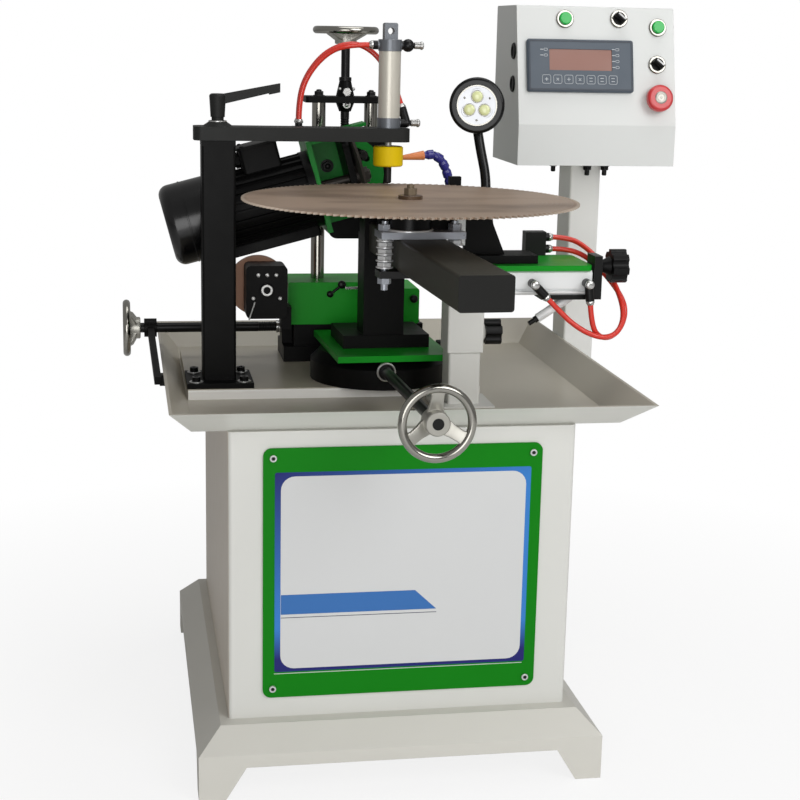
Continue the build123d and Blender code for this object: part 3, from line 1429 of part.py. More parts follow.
lean_angle = atan2(box_lean, box_top - box_fold)
face_normal = (0, -cos(lean_angle), sin(lean_angle))
box_face = Plane(origin=(box_left, box_front, box_fold), x_dir=(1, 0, 0), z_dir=face_normal)
housing = box_solid(0)
housing = fillet(housing.edges().filter_by(Axis.X).group_by(Axis.Z)[-1], box_edge)
housing -= box_solid(box_sheet)
for height in (side_hole_low, side_hole_high):
    housing -= rod_along_x(box_left - cut_over, box_left + 2 * box_sheet, box_front + side_hole_inset,
                           box_fold + height, side_hole)
controls = {
    "button_top": (button_top_u, button_top_v),
    "button_side": (button_side_u, button_side_v),
    "selector_top": (selector_top_u, selector_top_v),
    "selector_side": (selector_side_u, selector_side_v),
    "emergency_stop": (stop_u, stop_v),
}
bezels = []
for name, place in controls.items():
    spot = box_face * Pos(place[0], place[1], 0)
    housing -= spot * Cylinder(panel_hole / 2, 4 * box_sheet)
    outer = stop_collar if name == "emergency_stop" else bezel_outer
    bezel = Pos(0, 0, bezel_thickness / 2) * Cylinder(outer / 2, bezel_thickness)
    bezel += Pos(0, 0, -box_sheet) * Cylinder(panel_hole / 2 - screw_play, 2 * box_sheet)
    bezel = chamfer(bezel.edges().filter_by(GeomType.CIRCLE).sort_by(Axis.Z)[-1], bezel_edge)
    bezels.append(spot * (bezel - Cylinder(bezel_inner / 2, 6 * bezel_thickness)))
display_place = box_face * Pos(display_u, display_v, 0)
body_width = display_width - 2 * display_lip
body_height = display_height - 2 * display_lip
housing -= display_place * Box(body_width + 2 * screw_play, body_height + 2 * screw_play, 4 * box_sheet)
nodes["control_box"] = housing
nodes["control_bezels"] = bezels

# Display unit set into the face, with a sunk window
unit = extrude(RectangleRounded(display_width, display_height, display_lip), amount=display_bezel)
unit = chamfer(unit.faces().sort_by(Axis.Z)[-1].edges(), display_edge)
unit += Pos(0, 0, -display_body / 2) * Box(body_width, body_height, display_body)
unit -= (Pos(0, display_window_rise, display_bezel)
         * Box(display_window_width, display_window_height, 2 * display_window_depth))
nodes["display"] = display_place * unit

# Push buttons, selectors and the mushroom stop
cap_diameter_small = bezel_inner - 2 * cap_play
for name in ("button_top", "button_side"):
    cap = rod_along_z(-cap_stem, button_height, 0, 0, cap_diameter_small)
    cap = chamfer(cap.edges().filter_by(GeomType.CIRCLE).sort_by(Axis.Z)[-1], button_edge)
    nodes[name] = box_face * Pos(controls[name][0], controls[name][1], 0) * cap
knob_base = bezel_thickness + selector_rise
selector_length = cap_diameter_small - 2 * selector_inset
for name in ("selector_top", "selector_side"):
    knob = rod_along_z(-cap_stem, knob_base, 0, 0, cap_diameter_small)
    grip_middle = knob_base + selector_bar_height / 2
    grip = Pos(0, 0, grip_middle) * Box(selector_bar, selector_length, selector_bar_height)
    knob += chamfer(grip.faces().sort_by(Axis.Z)[-1].edges(), grip_edge)
    nodes[name] = box_face * Pos(controls[name][0], controls[name][1], 0) * Rot(0, 0, selector_turn) * knob
mushroom = rod_along_z(-cap_stem, stop_height, 0, 0, stop_stem)
head = rod_along_z(stop_height - stop_head, stop_height, 0, 0, stop_diameter)
mushroom += fillet(head.edges().filter_by(GeomType.CIRCLE).sort_by(Axis.Z)[-1], stop_round)
nodes["emergency_stop"] = box_face * Pos(stop_u, stop_v, 0) * mushroom

# Centre everything on the floor and write one file for each node
groups = {}
for name, shape in nodes.items():
    solids = [solid for item in (shape if isinstance(shape, list) else [shape]) for solid in item.solids()]
    groups[name] = solids[0] if len(solids) == 1 else Compound(children=solids)
whole = Compound(children=[solid for group in groups.values() for solid in group.solids()])
box = whole.bounding_box()
centre = Pos(-(box.min.X + box.max.X) / 2, -(box.min.Y + box.max.Y) / 2, -box.min.Z)
print("centre shift", centre.position)
os.makedirs("parts", exist_ok=True)
for name, group in groups.items():
    export_step(centre * group, f"parts/{name}.step")
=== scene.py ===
import math

import bmesh
import bpy
from mathutils import Matrix, Vector


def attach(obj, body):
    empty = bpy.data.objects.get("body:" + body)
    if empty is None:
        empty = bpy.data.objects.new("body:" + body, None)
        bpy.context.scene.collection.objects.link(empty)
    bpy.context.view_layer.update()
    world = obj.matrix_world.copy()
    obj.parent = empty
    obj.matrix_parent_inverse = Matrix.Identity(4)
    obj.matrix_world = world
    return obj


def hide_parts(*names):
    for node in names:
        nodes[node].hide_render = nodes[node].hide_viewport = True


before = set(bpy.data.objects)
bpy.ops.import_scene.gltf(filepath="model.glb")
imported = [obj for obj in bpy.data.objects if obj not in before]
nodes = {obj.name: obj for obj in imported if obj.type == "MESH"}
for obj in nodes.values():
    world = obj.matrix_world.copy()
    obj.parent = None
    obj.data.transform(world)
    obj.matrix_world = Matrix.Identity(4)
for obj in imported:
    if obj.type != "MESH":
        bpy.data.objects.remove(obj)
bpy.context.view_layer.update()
scene = bpy.context.scene
scene.view_settings.view_transform = "Standard"

X, Y, Z = Vector((1, 0, 0)), Vector((0, 1, 0)), Vector((0, 0, 1))
MILLIMETRE = 0.001


def placed(base, at, *turns):
    """A place inside another one: moved, then turned by pairs of an axis and degrees."""
    place = base @ Matrix.Translation(at)
    for axis, degrees in turns:
        place = place @ Matrix.Rotation(math.radians(degrees), 4, axis)
    return place


# Axes that several pieces share, in millimetres
LIFT_X, LIFT_Y = -30, 446
FEED_Y, FEED_Z = 440, 595
CROSS_X, CROSS_Z = -13, 577
PRESS_Y = 247
MOTOR_Y = 343
CLAMP_Y = -236

# Places of the machine and of its turned table, tilted head, leaning control face, front panel, lamp head and
# handwheels. Lengths inside them are in millimetres.
MACHINE = Matrix.Scale(MILLIMETRE, 4) @ Matrix.Translation((-55.5, -169.171, 0))
TABLE = placed(MACHINE, (4, 271, 0), ("Z", 2.5))
HEAD = placed(MACHINE, (-30, 0, 848), ("Y", -15))
FACE_LEAN = math.degrees(math.atan2(43, 186))
FACE = placed(MACHINE, (239, 362, 933), ("X", 90 - FACE_LEAN))
FRONT = placed(MACHINE, (0, -3, 0), ("X", 90))
LAMP_HEAD = placed(MACHINE, (141.4, 235, 967.3), ("Z", -12.5), ("X", 87.5))
FRONT_WHEEL = placed(TABLE, (CROSS_X, -424, CROSS_Z), ("X", 90))
LEFT_WHEEL = placed(MACHINE, (-362, FEED_Y, FEED_Z), ("Y", -90))
TOP_WHEEL = placed(MACHINE, (LIFT_X, LIFT_Y, 1052))

# Camera at the angle of the photograph
CAMERA_AT = (-0.44732, -2.327471, 1.07087)
yaw, pitch, roll = (math.radians(angle) for angle in (10.07, 12.906, 1.223))
ahead = Vector((math.sin(yaw) * math.cos(pitch), math.cos(yaw) * math.cos(pitch), -math.sin(pitch)))
level = Vector((math.cos(yaw), -math.sin(yaw), 0))
over = level.cross(ahead)
right = math.cos(roll) * level + math.sin(roll) * over
above = math.cos(roll) * over - math.sin(roll) * level
camera = bpy.data.objects.new("camera", bpy.data.cameras.new("camera"))
camera.data.lens = 72
camera.data.sensor_width = 36
camera.data.clip_start = 0.05
aim = Matrix((right, above, -ahead)).transposed().to_4x4()
camera.matrix_world = Matrix.Translation(CAMERA_AT) @ aim
scene.collection.objects.link(camera)
scene.camera = camera


# Shader nodes
def add_node(tree, kind, operation=None, **values):
    """Adds a shader node, with its operation and the values of inputs that are named."""
    made = tree.nodes.new("ShaderNode" + kind)
    if operation:
        made.operation = operation
    for key, value in values.items():
        made.inputs[key].default_value = value
    return made


def feed(tree, value, socket):
    """Links an output to a socket, or sets the socket's own value."""
    if isinstance(value, bpy.types.NodeSocket):
        tree.links.new(value, socket)
    else:
        socket.default_value = value


def compute(tree, kind, operation, *values):
    """Adds a Math or VectorMath node over outputs and constants, and gives its number."""
    made = add_node(tree, kind, operation)
    for value, socket in zip(values, made.inputs):
        feed(tree, value, socket)
    return made.outputs["Value"]


def add_ramp(tree, value, low, high, start, end):
    """Takes a value between low and high over to one between start and end."""
    limits = {"From Min": low, "From Max": high, "To Min": start, "To Max": end}
    made = add_node(tree, "MapRange", **limits)
    tree.links.new(value, made.inputs["Value"])
    return made.outputs["Result"]


def blend_shaders(tree, factor, first, second, output):
    """Mixes two shaders into the surface of an output node."""
    made = add_node(tree, "MixShader")
    for value, socket in zip((factor, first.outputs[0], second.outputs[0]), made.inputs):
        tree.links.new(value, socket)
    tree.links.new(made.outputs[0], tree.nodes[output].inputs["Surface"])


# Materials
def tone(colour, factor=1):
    """An sRGB colour of 0 to 255 as a linear socket value, lighter or darker by a factor."""
    values = [v / 255 for v in colour]
    linear = [((v + 0.055) / 1.055) ** 2.4 if v > 0.04045 else v / 12.92 for v in values]
    return (*[min(1.0, v * factor) for v in linear], 1.0)


class Finish:
    """A procedural surface: clouded colour, uneven gloss, fine relief and softly rounded edges, paled as wear
    and as a painted highlight.

    vary and blotch are the spread and scale of the clouding, gloss the spread of the roughness, grain and
    relief the scale and strength of the bump, soft the radius of rounded edges in metres, and edge how pale
    they are made, as wear and as a painted highlight.
    """

    MIX_FACTOR, MIX_FIRST, MIX_SECOND, MIX_COLOUR = 0, 6, 7, 2
    WORN_AND_LIT_EDGE = (0.80, 0.80, 0.78, 1)
    BUMP_DEPTH = 0.0006

    def __init__(self, name, colour, rough, metal=0.0, vary=0.06, blotch=9.0, gloss=0.03, grain=420.0,
                 relief=0.05, stretch=(1, 1, 1), edge=0.0, coat=0.0, soft=0.0008, spec=0.5):
        self.material = bpy.data.materials.new(name)
        self.material.use_nodes = True
        self.tree = self.material.node_tree
        self.shader = self.tree.nodes["Principled BSDF"]
        self.shader.inputs["Metallic"].default_value = metal
        self.shader.inputs["Specular IOR Level"].default_value = spec
        if coat:
            self.shader.inputs["Coat Weight"].default_value = coat
            self.shader.inputs["Coat Roughness"].default_value = 0.08
        self.where = add_node(self.tree, "TexCoord").outputs["Object"]
        self.place = self.mapped(Scale=stretch)
        cloud = self.noise(blotch, 5)
        self.colour = self.mix(cloud, tone(colour, 1 - vary), tone(colour, 1 + vary))
        if soft:
            bevel = add_node(self.tree, "Bevel", Radius=soft)
            bevel.samples = 4
            normal = bevel.outputs["Normal"]
        if edge:
            # Sharp edges are paled: partly wear, partly a painted highlight
            flatness = compute(self.tree, "VectorMath", "DOT_PRODUCT", normal, self.normal())
            self.colour = self.mix(self.ramp(flatness, 0.985, 0.90, 0.0, edge), self.colour, self.WORN_AND_LIT_EDGE)
        self.link(self.colour, "Base Color")
        mist = self.noise(blotch * 4, 6)
        self.link(self.ramp(mist, 0.3, 0.7, max(0.02, rough - gloss), min(1.0, rough + gloss)), "Roughness")
        bump = add_node(self.tree, "Bump", Strength=relief, Distance=self.BUMP_DEPTH)
        self.tree.links.new(self.noise(grain, 3), bump.inputs["Height"])
        if soft:
            self.tree.links.new(normal, bump.inputs["Normal"])
        self.link(bump.outputs["Normal"], "Normal")

    def link(self, output, socket):
        self.tree.links.new(output, self.shader.inputs[socket])

    def mapped(self, **values):
        made = add_node(self.tree, "Mapping", **values)
        self.tree.links.new(self.where, made.inputs["Vector"])
        return made.outputs["Vector"]

    def normal(self):
        return add_node(self.tree, "NewGeometry").outputs["Normal"]

    def noise(self, scale, detail, place=None):
        made = add_node(self.tree, "TexNoise", Scale=scale, Detail=detail)
        self.tree.links.new(place or self.place, made.inputs["Vector"])
        return made.outputs["Fac"]

    def ramp(self, value, low, high, start=0, end=1):
        return add_ramp(self.tree, value, low, high, start, end)

    def mix(self, factor, first, second):
        made = add_node(self.tree, "Mix")
        made.data_type = "RGBA"
        self.tree.links.new(factor, made.inputs[self.MIX_FACTOR])
        feed(self.tree, first, made.inputs[self.MIX_FIRST])
        feed(self.tree, second, made.inputs[self.MIX_SECOND])
        return made.outputs[self.MIX_COLOUR]

    def along(self, axis):
        """Place along one axis, in metres."""
        split = add_node(self.tree, "SeparateXYZ")
        self.tree.links.new(self.where, split.inputs["Vector"])
        return split.outputs[axis]

    def slope(self, direction):
        """Place along a slanting direction, in metres for a direction of length 1."""
        return compute(self.tree, "VectorMath", "DOT_PRODUCT", self.where, direction)

    def reach(self, centre):
        """Distance from an upright axis, in metres."""
        flat = add_node(self.tree, "VectorMath", "MULTIPLY")
        feed(self.tree, self.where, flat.inputs[0])
        feed(self.tree, (1, 1, 0), flat.inputs[1])
        return compute(self.tree, "VectorMath", "DISTANCE", flat.outputs["Vector"], (centre.x, centre.y, 0))

    def facing(self, direction):
        """How far the surface looks along a direction."""
        return compute(self.tree, "VectorMath", "DOT_PRODUCT", self.normal(), direction)

    def paint(self, value, low, high, colour):
        """Takes the surface over to another colour as a value goes from low to high."""
        self.colour = self.mix(self.ramp(value, low, high), self.colour, tone(colour))
        self.link(self.colour, "Base Color")
        return self

    def paint_where(self, axis, low, high, colour):
        """Takes the surface over to another colour between two places along one axis, in metres."""
        return self.paint(self.along(axis), low, high, colour)


white_paint = Finish("white_paint", (220, 220, 215), 0.36, vary=0.02, relief=0.02)
plinth_paint = Finish("plinth_paint", (216, 214, 206), 0.42, vary=0.03, relief=0.02)
# Tray: its base colour is darkened as painted shade and reflection; faces turned downwards keep the paler
# paint
tray_paint = Finish("tray_paint", (190, 184, 170), 0.34, vary=0.03, gloss=0.015, grain=60, relief=0.03,
                    soft=0)
# Bed plate: its darker top stands for reflection, with a painted highlight along its front edge (set below)
bed_paint = Finish("bed_paint", (190, 183, 167), 0.30, vary=0.03, gloss=0.015, grain=60, relief=0.03, soft=0)
post_paint = Finish("post_paint", (238, 238, 234), 0.36, vary=0.02, relief=0.02)
box_paint = Finish("box_paint", (226, 228, 226), 0.42, vary=0.02, grain=900, relief=0.05)
green_paint = Finish("green_paint", (18, 148, 34), 0.34, vary=0.05, grain=80, relief=0.03, soft=0.0005,
                     spec=0.2)
# A lighter copy of the green paint for the carriage: painted light on its front
carriage_green_lit = Finish("carriage_green_lit", (30, 168, 42), 0.40, vary=0.05, grain=80, relief=0.03, soft=0.0005,
                        spec=0.2)
bracket_green = Finish("bracket_green", (10, 134, 42), 0.36, vary=0.06, relief=0.02, soft=0.0005, spec=0.25)
panel_green = Finish("panel_green", (6, 126, 10), 0.48, vary=0.03, relief=0.02, spec=0.15)
black_paint = Finish("black_paint", (9, 9, 9), 0.44, vary=0.10, relief=0.03, spec=0.12)
black_gloss = Finish("black_gloss", (8, 8, 9), 0.24, vary=0.10, relief=0.02, spec=0.3)
cowl_black = Finish("cowl_black", (9, 9, 10), 0.22, vary=0.10, relief=0.01, soft=0, spec=0.5)
cast_grey = Finish("cast_grey", (34, 35, 34), 0.48, vary=0.08, grain=260, relief=0.08, spec=0.2)
beam_grey = Finish("beam_grey", (58, 57, 51), 0.46, vary=0.08, stretch=(1, 0.2, 1), relief=0.03, spec=0.12)
black_oxide = Finish("black_oxide", (18, 18, 18), 0.36, metal=0.2, edge=0.08, vary=0.15, grain=700, spec=0.3)
black_plastic = Finish("black_plastic", (9, 9, 10), 0.42, vary=0.10, grain=1100, relief=0.08, spec=0.2)
cap_grey = Finish("cap_grey", (118, 122, 128), 0.34, metal=0.5, edge=0.2, vary=0.06)
champagne = Finish("champagne", (214, 210, 198), 0.36, metal=0.35, vary=0.03, stretch=(9, 9, 0.4), grain=260)
chrome = Finish("chrome", (158, 156, 149), 0.14, metal=1.0, vary=0.03, gloss=0.05, grain=900, relief=0.02)
satin = Finish("satin", (176, 174, 166), 0.34, metal=0.7, vary=0.05, grain=600, relief=0.08, edge=0.15)
steel = Finish("steel", (196, 196, 194), 0.28, metal=0.85, vary=0.06, gloss=0.10, grain=700)
zinc = Finish("zinc", (216, 217, 218), 0.30, metal=0.4, vary=0.05, grain=700, edge=0.15)
clamp_steel = Finish("clamp_steel", (176, 180, 188), 0.30, metal=0.7, vary=0.06, grain=500, edge=0.2)
dark_steel = Finish("dark_steel", (52, 48, 44), 0.36, metal=0.6, vary=0.12, edge=0.15)
press_steel = Finish("press_steel", (26, 26, 26), 0.32, metal=0.4, vary=0.08)
yellow_pad = Finish("yellow_pad", (240, 206, 6), 0.52, vary=0.04, grain=300, relief=0.06, spec=0.2)
orange_tip = Finish("orange_tip", (232, 140, 84), 0.38, vary=0.06)
red_hose = Finish("red_hose", (222, 54, 40), 0.30, vary=0.06, grain=260, relief=0.03, coat=0.3, soft=0)
hose_violet = Finish("hose_violet", (52, 50, 140), 0.34, vary=0.08, coat=0.3)
bronze = Finish("bronze", (92, 72, 54), 0.38, metal=0.3, edge=0.2, vary=0.15)
cam_brown = Finish("cam_brown", (178, 132, 106), 0.42, metal=0.2, edge=0.2, vary=0.12)
blade_brown = Finish("blade_brown", (150, 126, 108), 0.46, metal=0.15, vary=0.05, soft=0, relief=0.02)
abrasive = Finish("abrasive", (60, 56, 50), 0.85, vary=0.25, blotch=500, grain=1500, relief=0.6)
anodised = Finish("anodised", (240, 242, 242), 0.38, metal=0.1, vary=0.02, edge=0.2)
slate = Finish("slate", (76, 87, 99), 0.46, vary=0.04, grain=1100, relief=0.04)
slate_edge = Finish("slate_edge", (50, 58, 70), 0.44, vary=0.05)
amber_glass = Finish("amber_glass", (142, 92, 76), 0.34, vary=0.05, relief=0.01, soft=0)
key_line = Finish("key_line", (206, 210, 214), 0.5, vary=0.03)
green_cap = Finish("green_cap", (18, 184, 74), 0.34, vary=0.05, coat=0.2)
red_cap = Finish("red_cap", (208, 52, 56), 0.32, vary=0.06, coat=0.3)
lens_silver = Finish("lens_silver", (190, 192, 196), 0.30, metal=0.5, vary=0.03)
led_yellow = Finish("led_yellow", (238, 244, 184), 0.16, vary=0.06, coat=0.6)
panel_white = Finish("panel_white", (214, 215, 215), 0.36, vary=0.012, relief=0.01, soft=0)
panel_blue = Finish("panel_blue", (58, 128, 204), 0.40, vary=0.05, soft=0, spec=0.2)
ribbon_blue = Finish("ribbon_blue", (45, 108, 178), 0.35, vary=0.04)
line_dark = Finish("line_dark", (52, 60, 80), 0.4, vary=0.05)
screw_mix = Finish("screw_mix", (196, 196, 196), 0.26, metal=0.9, vary=0.05)
# Cabinet: the same white paint, with painted shade on its left side (set below)
cabinet_paint_shaded_side = Finish("cabinet_paint_shaded_side", (220, 220, 215), 0.36, vary=0.02, relief=0.02)

# Nodes with more than one colour: painted shade on the left side of the cabinet, painted shade and reflection
# on the tray with paler faces turned downwards, painted shade on the beam's end face, paler arbor nut, black
# riser of the coolant hose, black screws of the column foot, a painted highlight along the front edge of the
# bed, bright upper press rod, black fittings of the air cylinder
cabinet_paint_shaded_side.paint(cabinet_paint_shaded_side.facing((-1, 0, 0)), 0.8, 0.9, (206, 196, 182))
# Painted shade and reflection: the tray stays darker everywhere except on faces turned downwards
tray_paint.paint(tray_paint.facing((0, 0, 1)), -0.02, -0.06, (220, 220, 213))
# Painted shade: the beam's front end face is darker than its sides
beam_grey.paint(beam_grey.facing((0, -1, 0)), 0.8, 0.9, (34, 34, 33))
bronze.paint_where("Z", 0.8525, 0.8535, (120, 106, 86))
hose_violet.paint_where("Z", 0.802, 0.79, (28, 28, 34))
screw_mix.paint_where("Z", 0.52, 0.53, (32, 32, 33))
# Painted highlight along the front edge of the bed plate
bed_paint.paint_where("Y", 0.0254, 0.0246, (250, 249, 245))
press_steel.paint_where("Z", 0.9047, 0.9049, (196, 196, 194))
cap_grey.paint_where("X", -0.0300, -0.0290, (22, 22, 23)).paint_where("X", -0.0650, -0.0660, (22, 22, 23))

# Blue print of the panel: darker towards the top left and along the bottom
corner = panel_blue.ramp(panel_blue.slope((0.55, 0, -1)), -0.60, -0.38, 1, 0)
bottom = panel_blue.ramp(panel_blue.slope((0, 0, 1)), 0.235, 0.19)
dusk = compute(panel_blue.tree, "Math", "MAXIMUM", corner, bottom)
panel_blue.paint(dusk, 0, 1, (36, 38, 112))

# Arbor carriage: black bearing housing, dark lower bar and bright bolt ends below it
blade_centre = MACHINE @ Vector((6.30, 34.88, 0))
inside = clamp_steel.ramp(clamp_steel.reach(blade_centre), 0.0308, 0.0304)
upper = clamp_steel.ramp(clamp_steel.along("Z"), 0.8034, 0.8036)
housing = compute(clamp_steel.tree, "Math", "MULTIPLY", inside, upper)
clamp_steel.paint(housing, 0, 1, (12, 12, 12))
clamp_steel.paint_where("Z", 0.7482, 0.7480, (44, 44, 44))
clamp_steel.paint_where("Z", 0.7376, 0.7374, (176, 180, 188))

# Blade: turned rings, smeared stains and paler tips
from_centre = blade_brown.reach(blade_centre)
turned_rings = add_node(blade_brown.tree, "TexNoise", Scale=700.0, Detail=4.0)
turned_rings.noise_dimensions = "1D"
blade_brown.tree.links.new(from_centre, turned_rings.inputs["W"])
ring_value = turned_rings.outputs["Fac"]
ringed = blade_brown.mix(ring_value, tone((145, 124, 106)), tone((181, 158, 138)))
smears = blade_brown.noise(2.2, 6.0, blade_brown.mapped(Scale=(2, 5, 1), Rotation=(0, 0, 0.2)))
stained = blade_brown.mix(blade_brown.ramp(smears, 0.45, 0.68, 0, 0.75), ringed, tone((106, 88, 74)))
tips = blade_brown.ramp(from_centre, 0.2290, 0.2315, 0, 0.45)
blade_brown.link(blade_brown.mix(tips, stained, tone((196, 186, 172))), "Base Color")
blade_brown.link(blade_brown.ramp(ring_value, 0.3, 0.7, 0.38, 0.58), "Roughness")

CAD_FINISH = {
    white_paint: ["pusher_post", "pusher_sleeve"],
    cabinet_paint_shaded_side: ["cabinet"],
    plinth_paint: ["base_plinth"],
    panel_green: ["front_panel"],
    screw_mix: ["fixing_screws"],
    tray_paint: ["chip_tray"],
    bed_paint: ["bed_plate"],
    post_paint: ["box_post"],
    box_paint: ["control_box"],
    black_paint: ["press_column", "slideway", "support_column", "top_plate", "gearbox", "head_slide",
                  "spindle_plate", "motor_body", "round_base", "pusher_carriage"],
    beam_grey: ["beam"],
    black_gloss: ["lamp"],
    cowl_black: ["motor_cowl"],
    cast_grey: ["press_arm", "clamp_lever"],
    cap_grey: ["cylinder_caps"],
    champagne: ["cylinder_tube"],
    black_oxide: ["cross_screw", "pusher_fittings"],
    chrome: ["guide_rods", "control_bezels"],
    clamp_steel: ["arbor_carriage"],
    dark_steel: ["spindle"],
    press_steel: ["press_rod"],
    yellow_pad: ["press_pad"],
    orange_tip: ["coolant_nozzle"],
    hose_violet: ["coolant_hose"],
    bronze: ["arbor"],
    blade_brown: ["saw_blade"],
    cam_brown: ["cam_disc"],
    abrasive: ["grinding_wheel"],
    green_paint: ["slide_plate", "pusher_plate"],
    carriage_green_lit: ["grind_carriage"],
    bracket_green: ["motor_bracket"],
    anodised: ["pusher_cylinder"],
    black_plastic: ["sleeve_knob", "star_knob", "selector_top", "selector_side"],
    slate: ["display"],
    green_cap: ["button_top", "button_side"],
    red_cap: ["emergency_stop"],
    lens_silver: ["lamp_lens"],
}
for finish, names in CAD_FINISH.items():
    for name in names:
        mesh = nodes[name].data
        mesh.materials.clear()
        mesh.materials.append(finish.material)


# Outlines and profiles
def on_circle(radius, degrees):
    """A point on a circle about the origin."""
    return radius * math.cos(math.radians(degrees)), radius * math.sin(math.radians(degrees))


def rounded(width, height, radius, steps=6):
    """Outline of a rectangle with rounded corners about the origin."""
    points = []
    for turn, (sx, sy) in enumerate(((1, 1), (-1, 1), (-1, -1), (1, -1))):
        for step in range(steps + 1):
            x, y = on_circle(radius, 90 * (turn + step / steps))
            points.append((sx * (width / 2 - radius) + x, sy * (height / 2 - radius) + y))
    return points


def spun(outline, degrees):
    """An outline turned about the origin."""
    c, s = on_circle(1, degrees)
    return [(c * x - s * y, s * x + c * y) for x, y in outline]


def threaded(radius, low, high, pitch):
    """Profile of a rod with shallow thread rounds."""
    root = radius - 0.7
    points = [(0, low), (root, low)]
    for number in range(int((high - low) / pitch)):
        base = low + number * pitch
        points += [(root, base + 0.2 * pitch), (radius, base + 0.45 * pitch), (radius, base + 0.75 * pitch),
                   (root, base + pitch)]
    return [*points, (root, high), (0, high)]


def barbed(inner, outer, length, pitch):
    """Closed ring profile of a ribbed sleeve."""
    root = outer - 0.5
    points = [(inner, 0)]
    for number in range(int(length / pitch)):
        base = number * pitch
        points += [(root, base + 0.1), (outer, base + 0.35 * pitch), (outer, base + 0.7 * pitch),
                   (root, base + 0.9 * pitch)]
    return [*points, (inner, length)]


class Kit:
    """One piece made of turned and cut forms, in the millimetres of its place, that rides on one body."""

    SMOOTH_BELOW = math.radians(38)
    BEVEL_ABOVE = math.radians(40)

    def __init__(self, name, body, finish, place=MACHINE):
        self.name, self.body, self.finish, self.place = name, body, finish, place
        self.shape = bmesh.new()

    def ring(self, points):
        return [self.shape.verts.new(point) for point in points]

    def skin(self, first, second):
        """Joins two rings of points, either of which may be a single point."""
        if len(first) == 1 and len(second) == 1:
            return
        count = max(len(first), len(second))
        for i in range(count):
            j = (i + 1) % count
            corners = [first[i % len(first)], first[j % len(first)],
                       second[j % len(second)], second[i % len(second)]]
            self.shape.faces.new(list(dict.fromkeys(corners)))

    def loft(self, rings, closed=False):
        """Joins rings in a row, and the last to the first where the form is closed."""
        for first, second in zip(rings, rings[1:]):
            self.skin(first, second)
        if closed:
            self.skin(rings[-1], rings[0])
        return self

    def turned(self, at, axis, profile, segments=40, closed=False):
        """Turns a profile of (radius, height) pairs about an axis."""
        turn = Z.rotation_difference(Vector(axis)).to_matrix()
        rings = []
        for radius, height in profile:
            count = segments if radius > 1e-6 else 1
            circle = [on_circle(radius, 360 * i / segments) for i in range(count)]
            rings.append(self.ring(Vector(at) + turn @ Vector((x, y, height)) for x, y in circle))
        return self.loft(rings, closed)

    def cut(self, at, axis, outline, height, lead=0.0):
        """Raises an outline along an axis, with a small chamfer at the top."""
        turn = Z.rotation_difference(Vector(axis)).to_matrix()
        span = max(max(abs(x), abs(y)) for x, y in outline)
        levels = [(0, 1.0), (height - lead, 1.0)]
        if lead:
            levels.append((height, 1 - lead / span))
        rings = [self.ring(Vector(at) + turn @ Vector((x * k, y * k, h)) for x, y in outline)
                 for h, k in levels]
        self.loft(rings)
        self.shape.faces.new(list(reversed(rings[0])))
        self.shape.faces.new(rings[-1])
        return self

    def band(self, at, axis, outer, inner, height):
        """Raises the strip between two outlines of as many points along an axis."""
        turn = Z.rotation_difference(Vector(axis)).to_matrix()
        rings = [self.ring(Vector(at) + turn @ Vector((x, y, h)) for x, y in outline)
                 for outline, h in ((outer, 0), (outer, height), (inner, height), (inner, 0))]
        return self.loft(rings, closed=True)

    def bar(self, low, high):
        """A square-cut block between two corners."""
        low, high = Vector(low), Vector(high)
        middle, half = (low + high) / 2, (high - low) / 2
        outline = [(half.x, half.y), (-half.x, half.y), (-half.x, -half.y), (half.x, -half.y)]
        return self.cut((middle.x, middle.y, low.z), Z, outline, 2 * half.z)

    def hexagon(self, at, axis, across, height, turn=0.0):
        """Nut or bolt head, given by its size across flats."""
        outline = [on_circle(across / math.sqrt(3), 60 * i + turn) for i in range(6)]
        return self.cut(at, axis, outline, height, lead=min(0.9, height / 4))

    def washer(self, at, axis, inner, outer, thick):
        edge = min(0.4, thick / 3)
        return self.turned(at, axis, [(inner, 0), (outer, 0), (outer, thick - edge), (outer - edge, thick),
                                      (inner, thick)], closed=True)

    def socket(self, at, axis, head, height):
        """Cap screw head with its key hole."""
        radius, key, floor, edge = head / 2, head * 0.30, height * 0.4, 0.6
        return self.turned(at, axis, [(0, floor), (key, floor), (key, height), (radius - edge, height),
                                      (radius, height - edge), (radius, 0), (0, 0)], segments=24)

    def dome(self, at, axis, radius, height, start=0.0, steps=8):
        """Round head that curves in above a straight start."""
        profile = [(0, 0), (radius, 0)] if start == 0 else [(0, 0), (radius, 0), (radius, start)]
        for step in range(1, steps):
            across, up = on_circle(1, 90 * step / steps)
            profile.append((radius * across, start + (height - start) * up))
        return self.turned(at, axis, [*profile, (0, height)])

    def done(self, bevel=0.0, replaces=()):
        """Makes the object, with edges softened by a width where one is given, and sets it on its body."""
        bmesh.ops.recalc_face_normals(self.shape, faces=self.shape.faces[:])
        mesh = bpy.data.meshes.new(self.name)
        self.shape.to_mesh(mesh)
        self.shape.free()
        mesh.transform(self.place)
        mesh.shade_smooth()
        mesh.set_sharp_from_angle(angle=self.SMOOTH_BELOW)
        mesh.materials.append(self.finish.material)
        piece = bpy.data.objects.new(self.name, mesh)
        scene.collection.objects.link(piece)
        if bevel:
            soften = piece.modifiers.new("soften", "BEVEL")
            soften.width = bevel * MILLIMETRE
            soften.segments = 2
            soften.limit_method = "ANGLE"
            soften.angle_limit = self.BEVEL_ABOVE
            soften.harden_normals = True
        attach(piece, self.body)
        if replaces:
            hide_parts(*replaces)


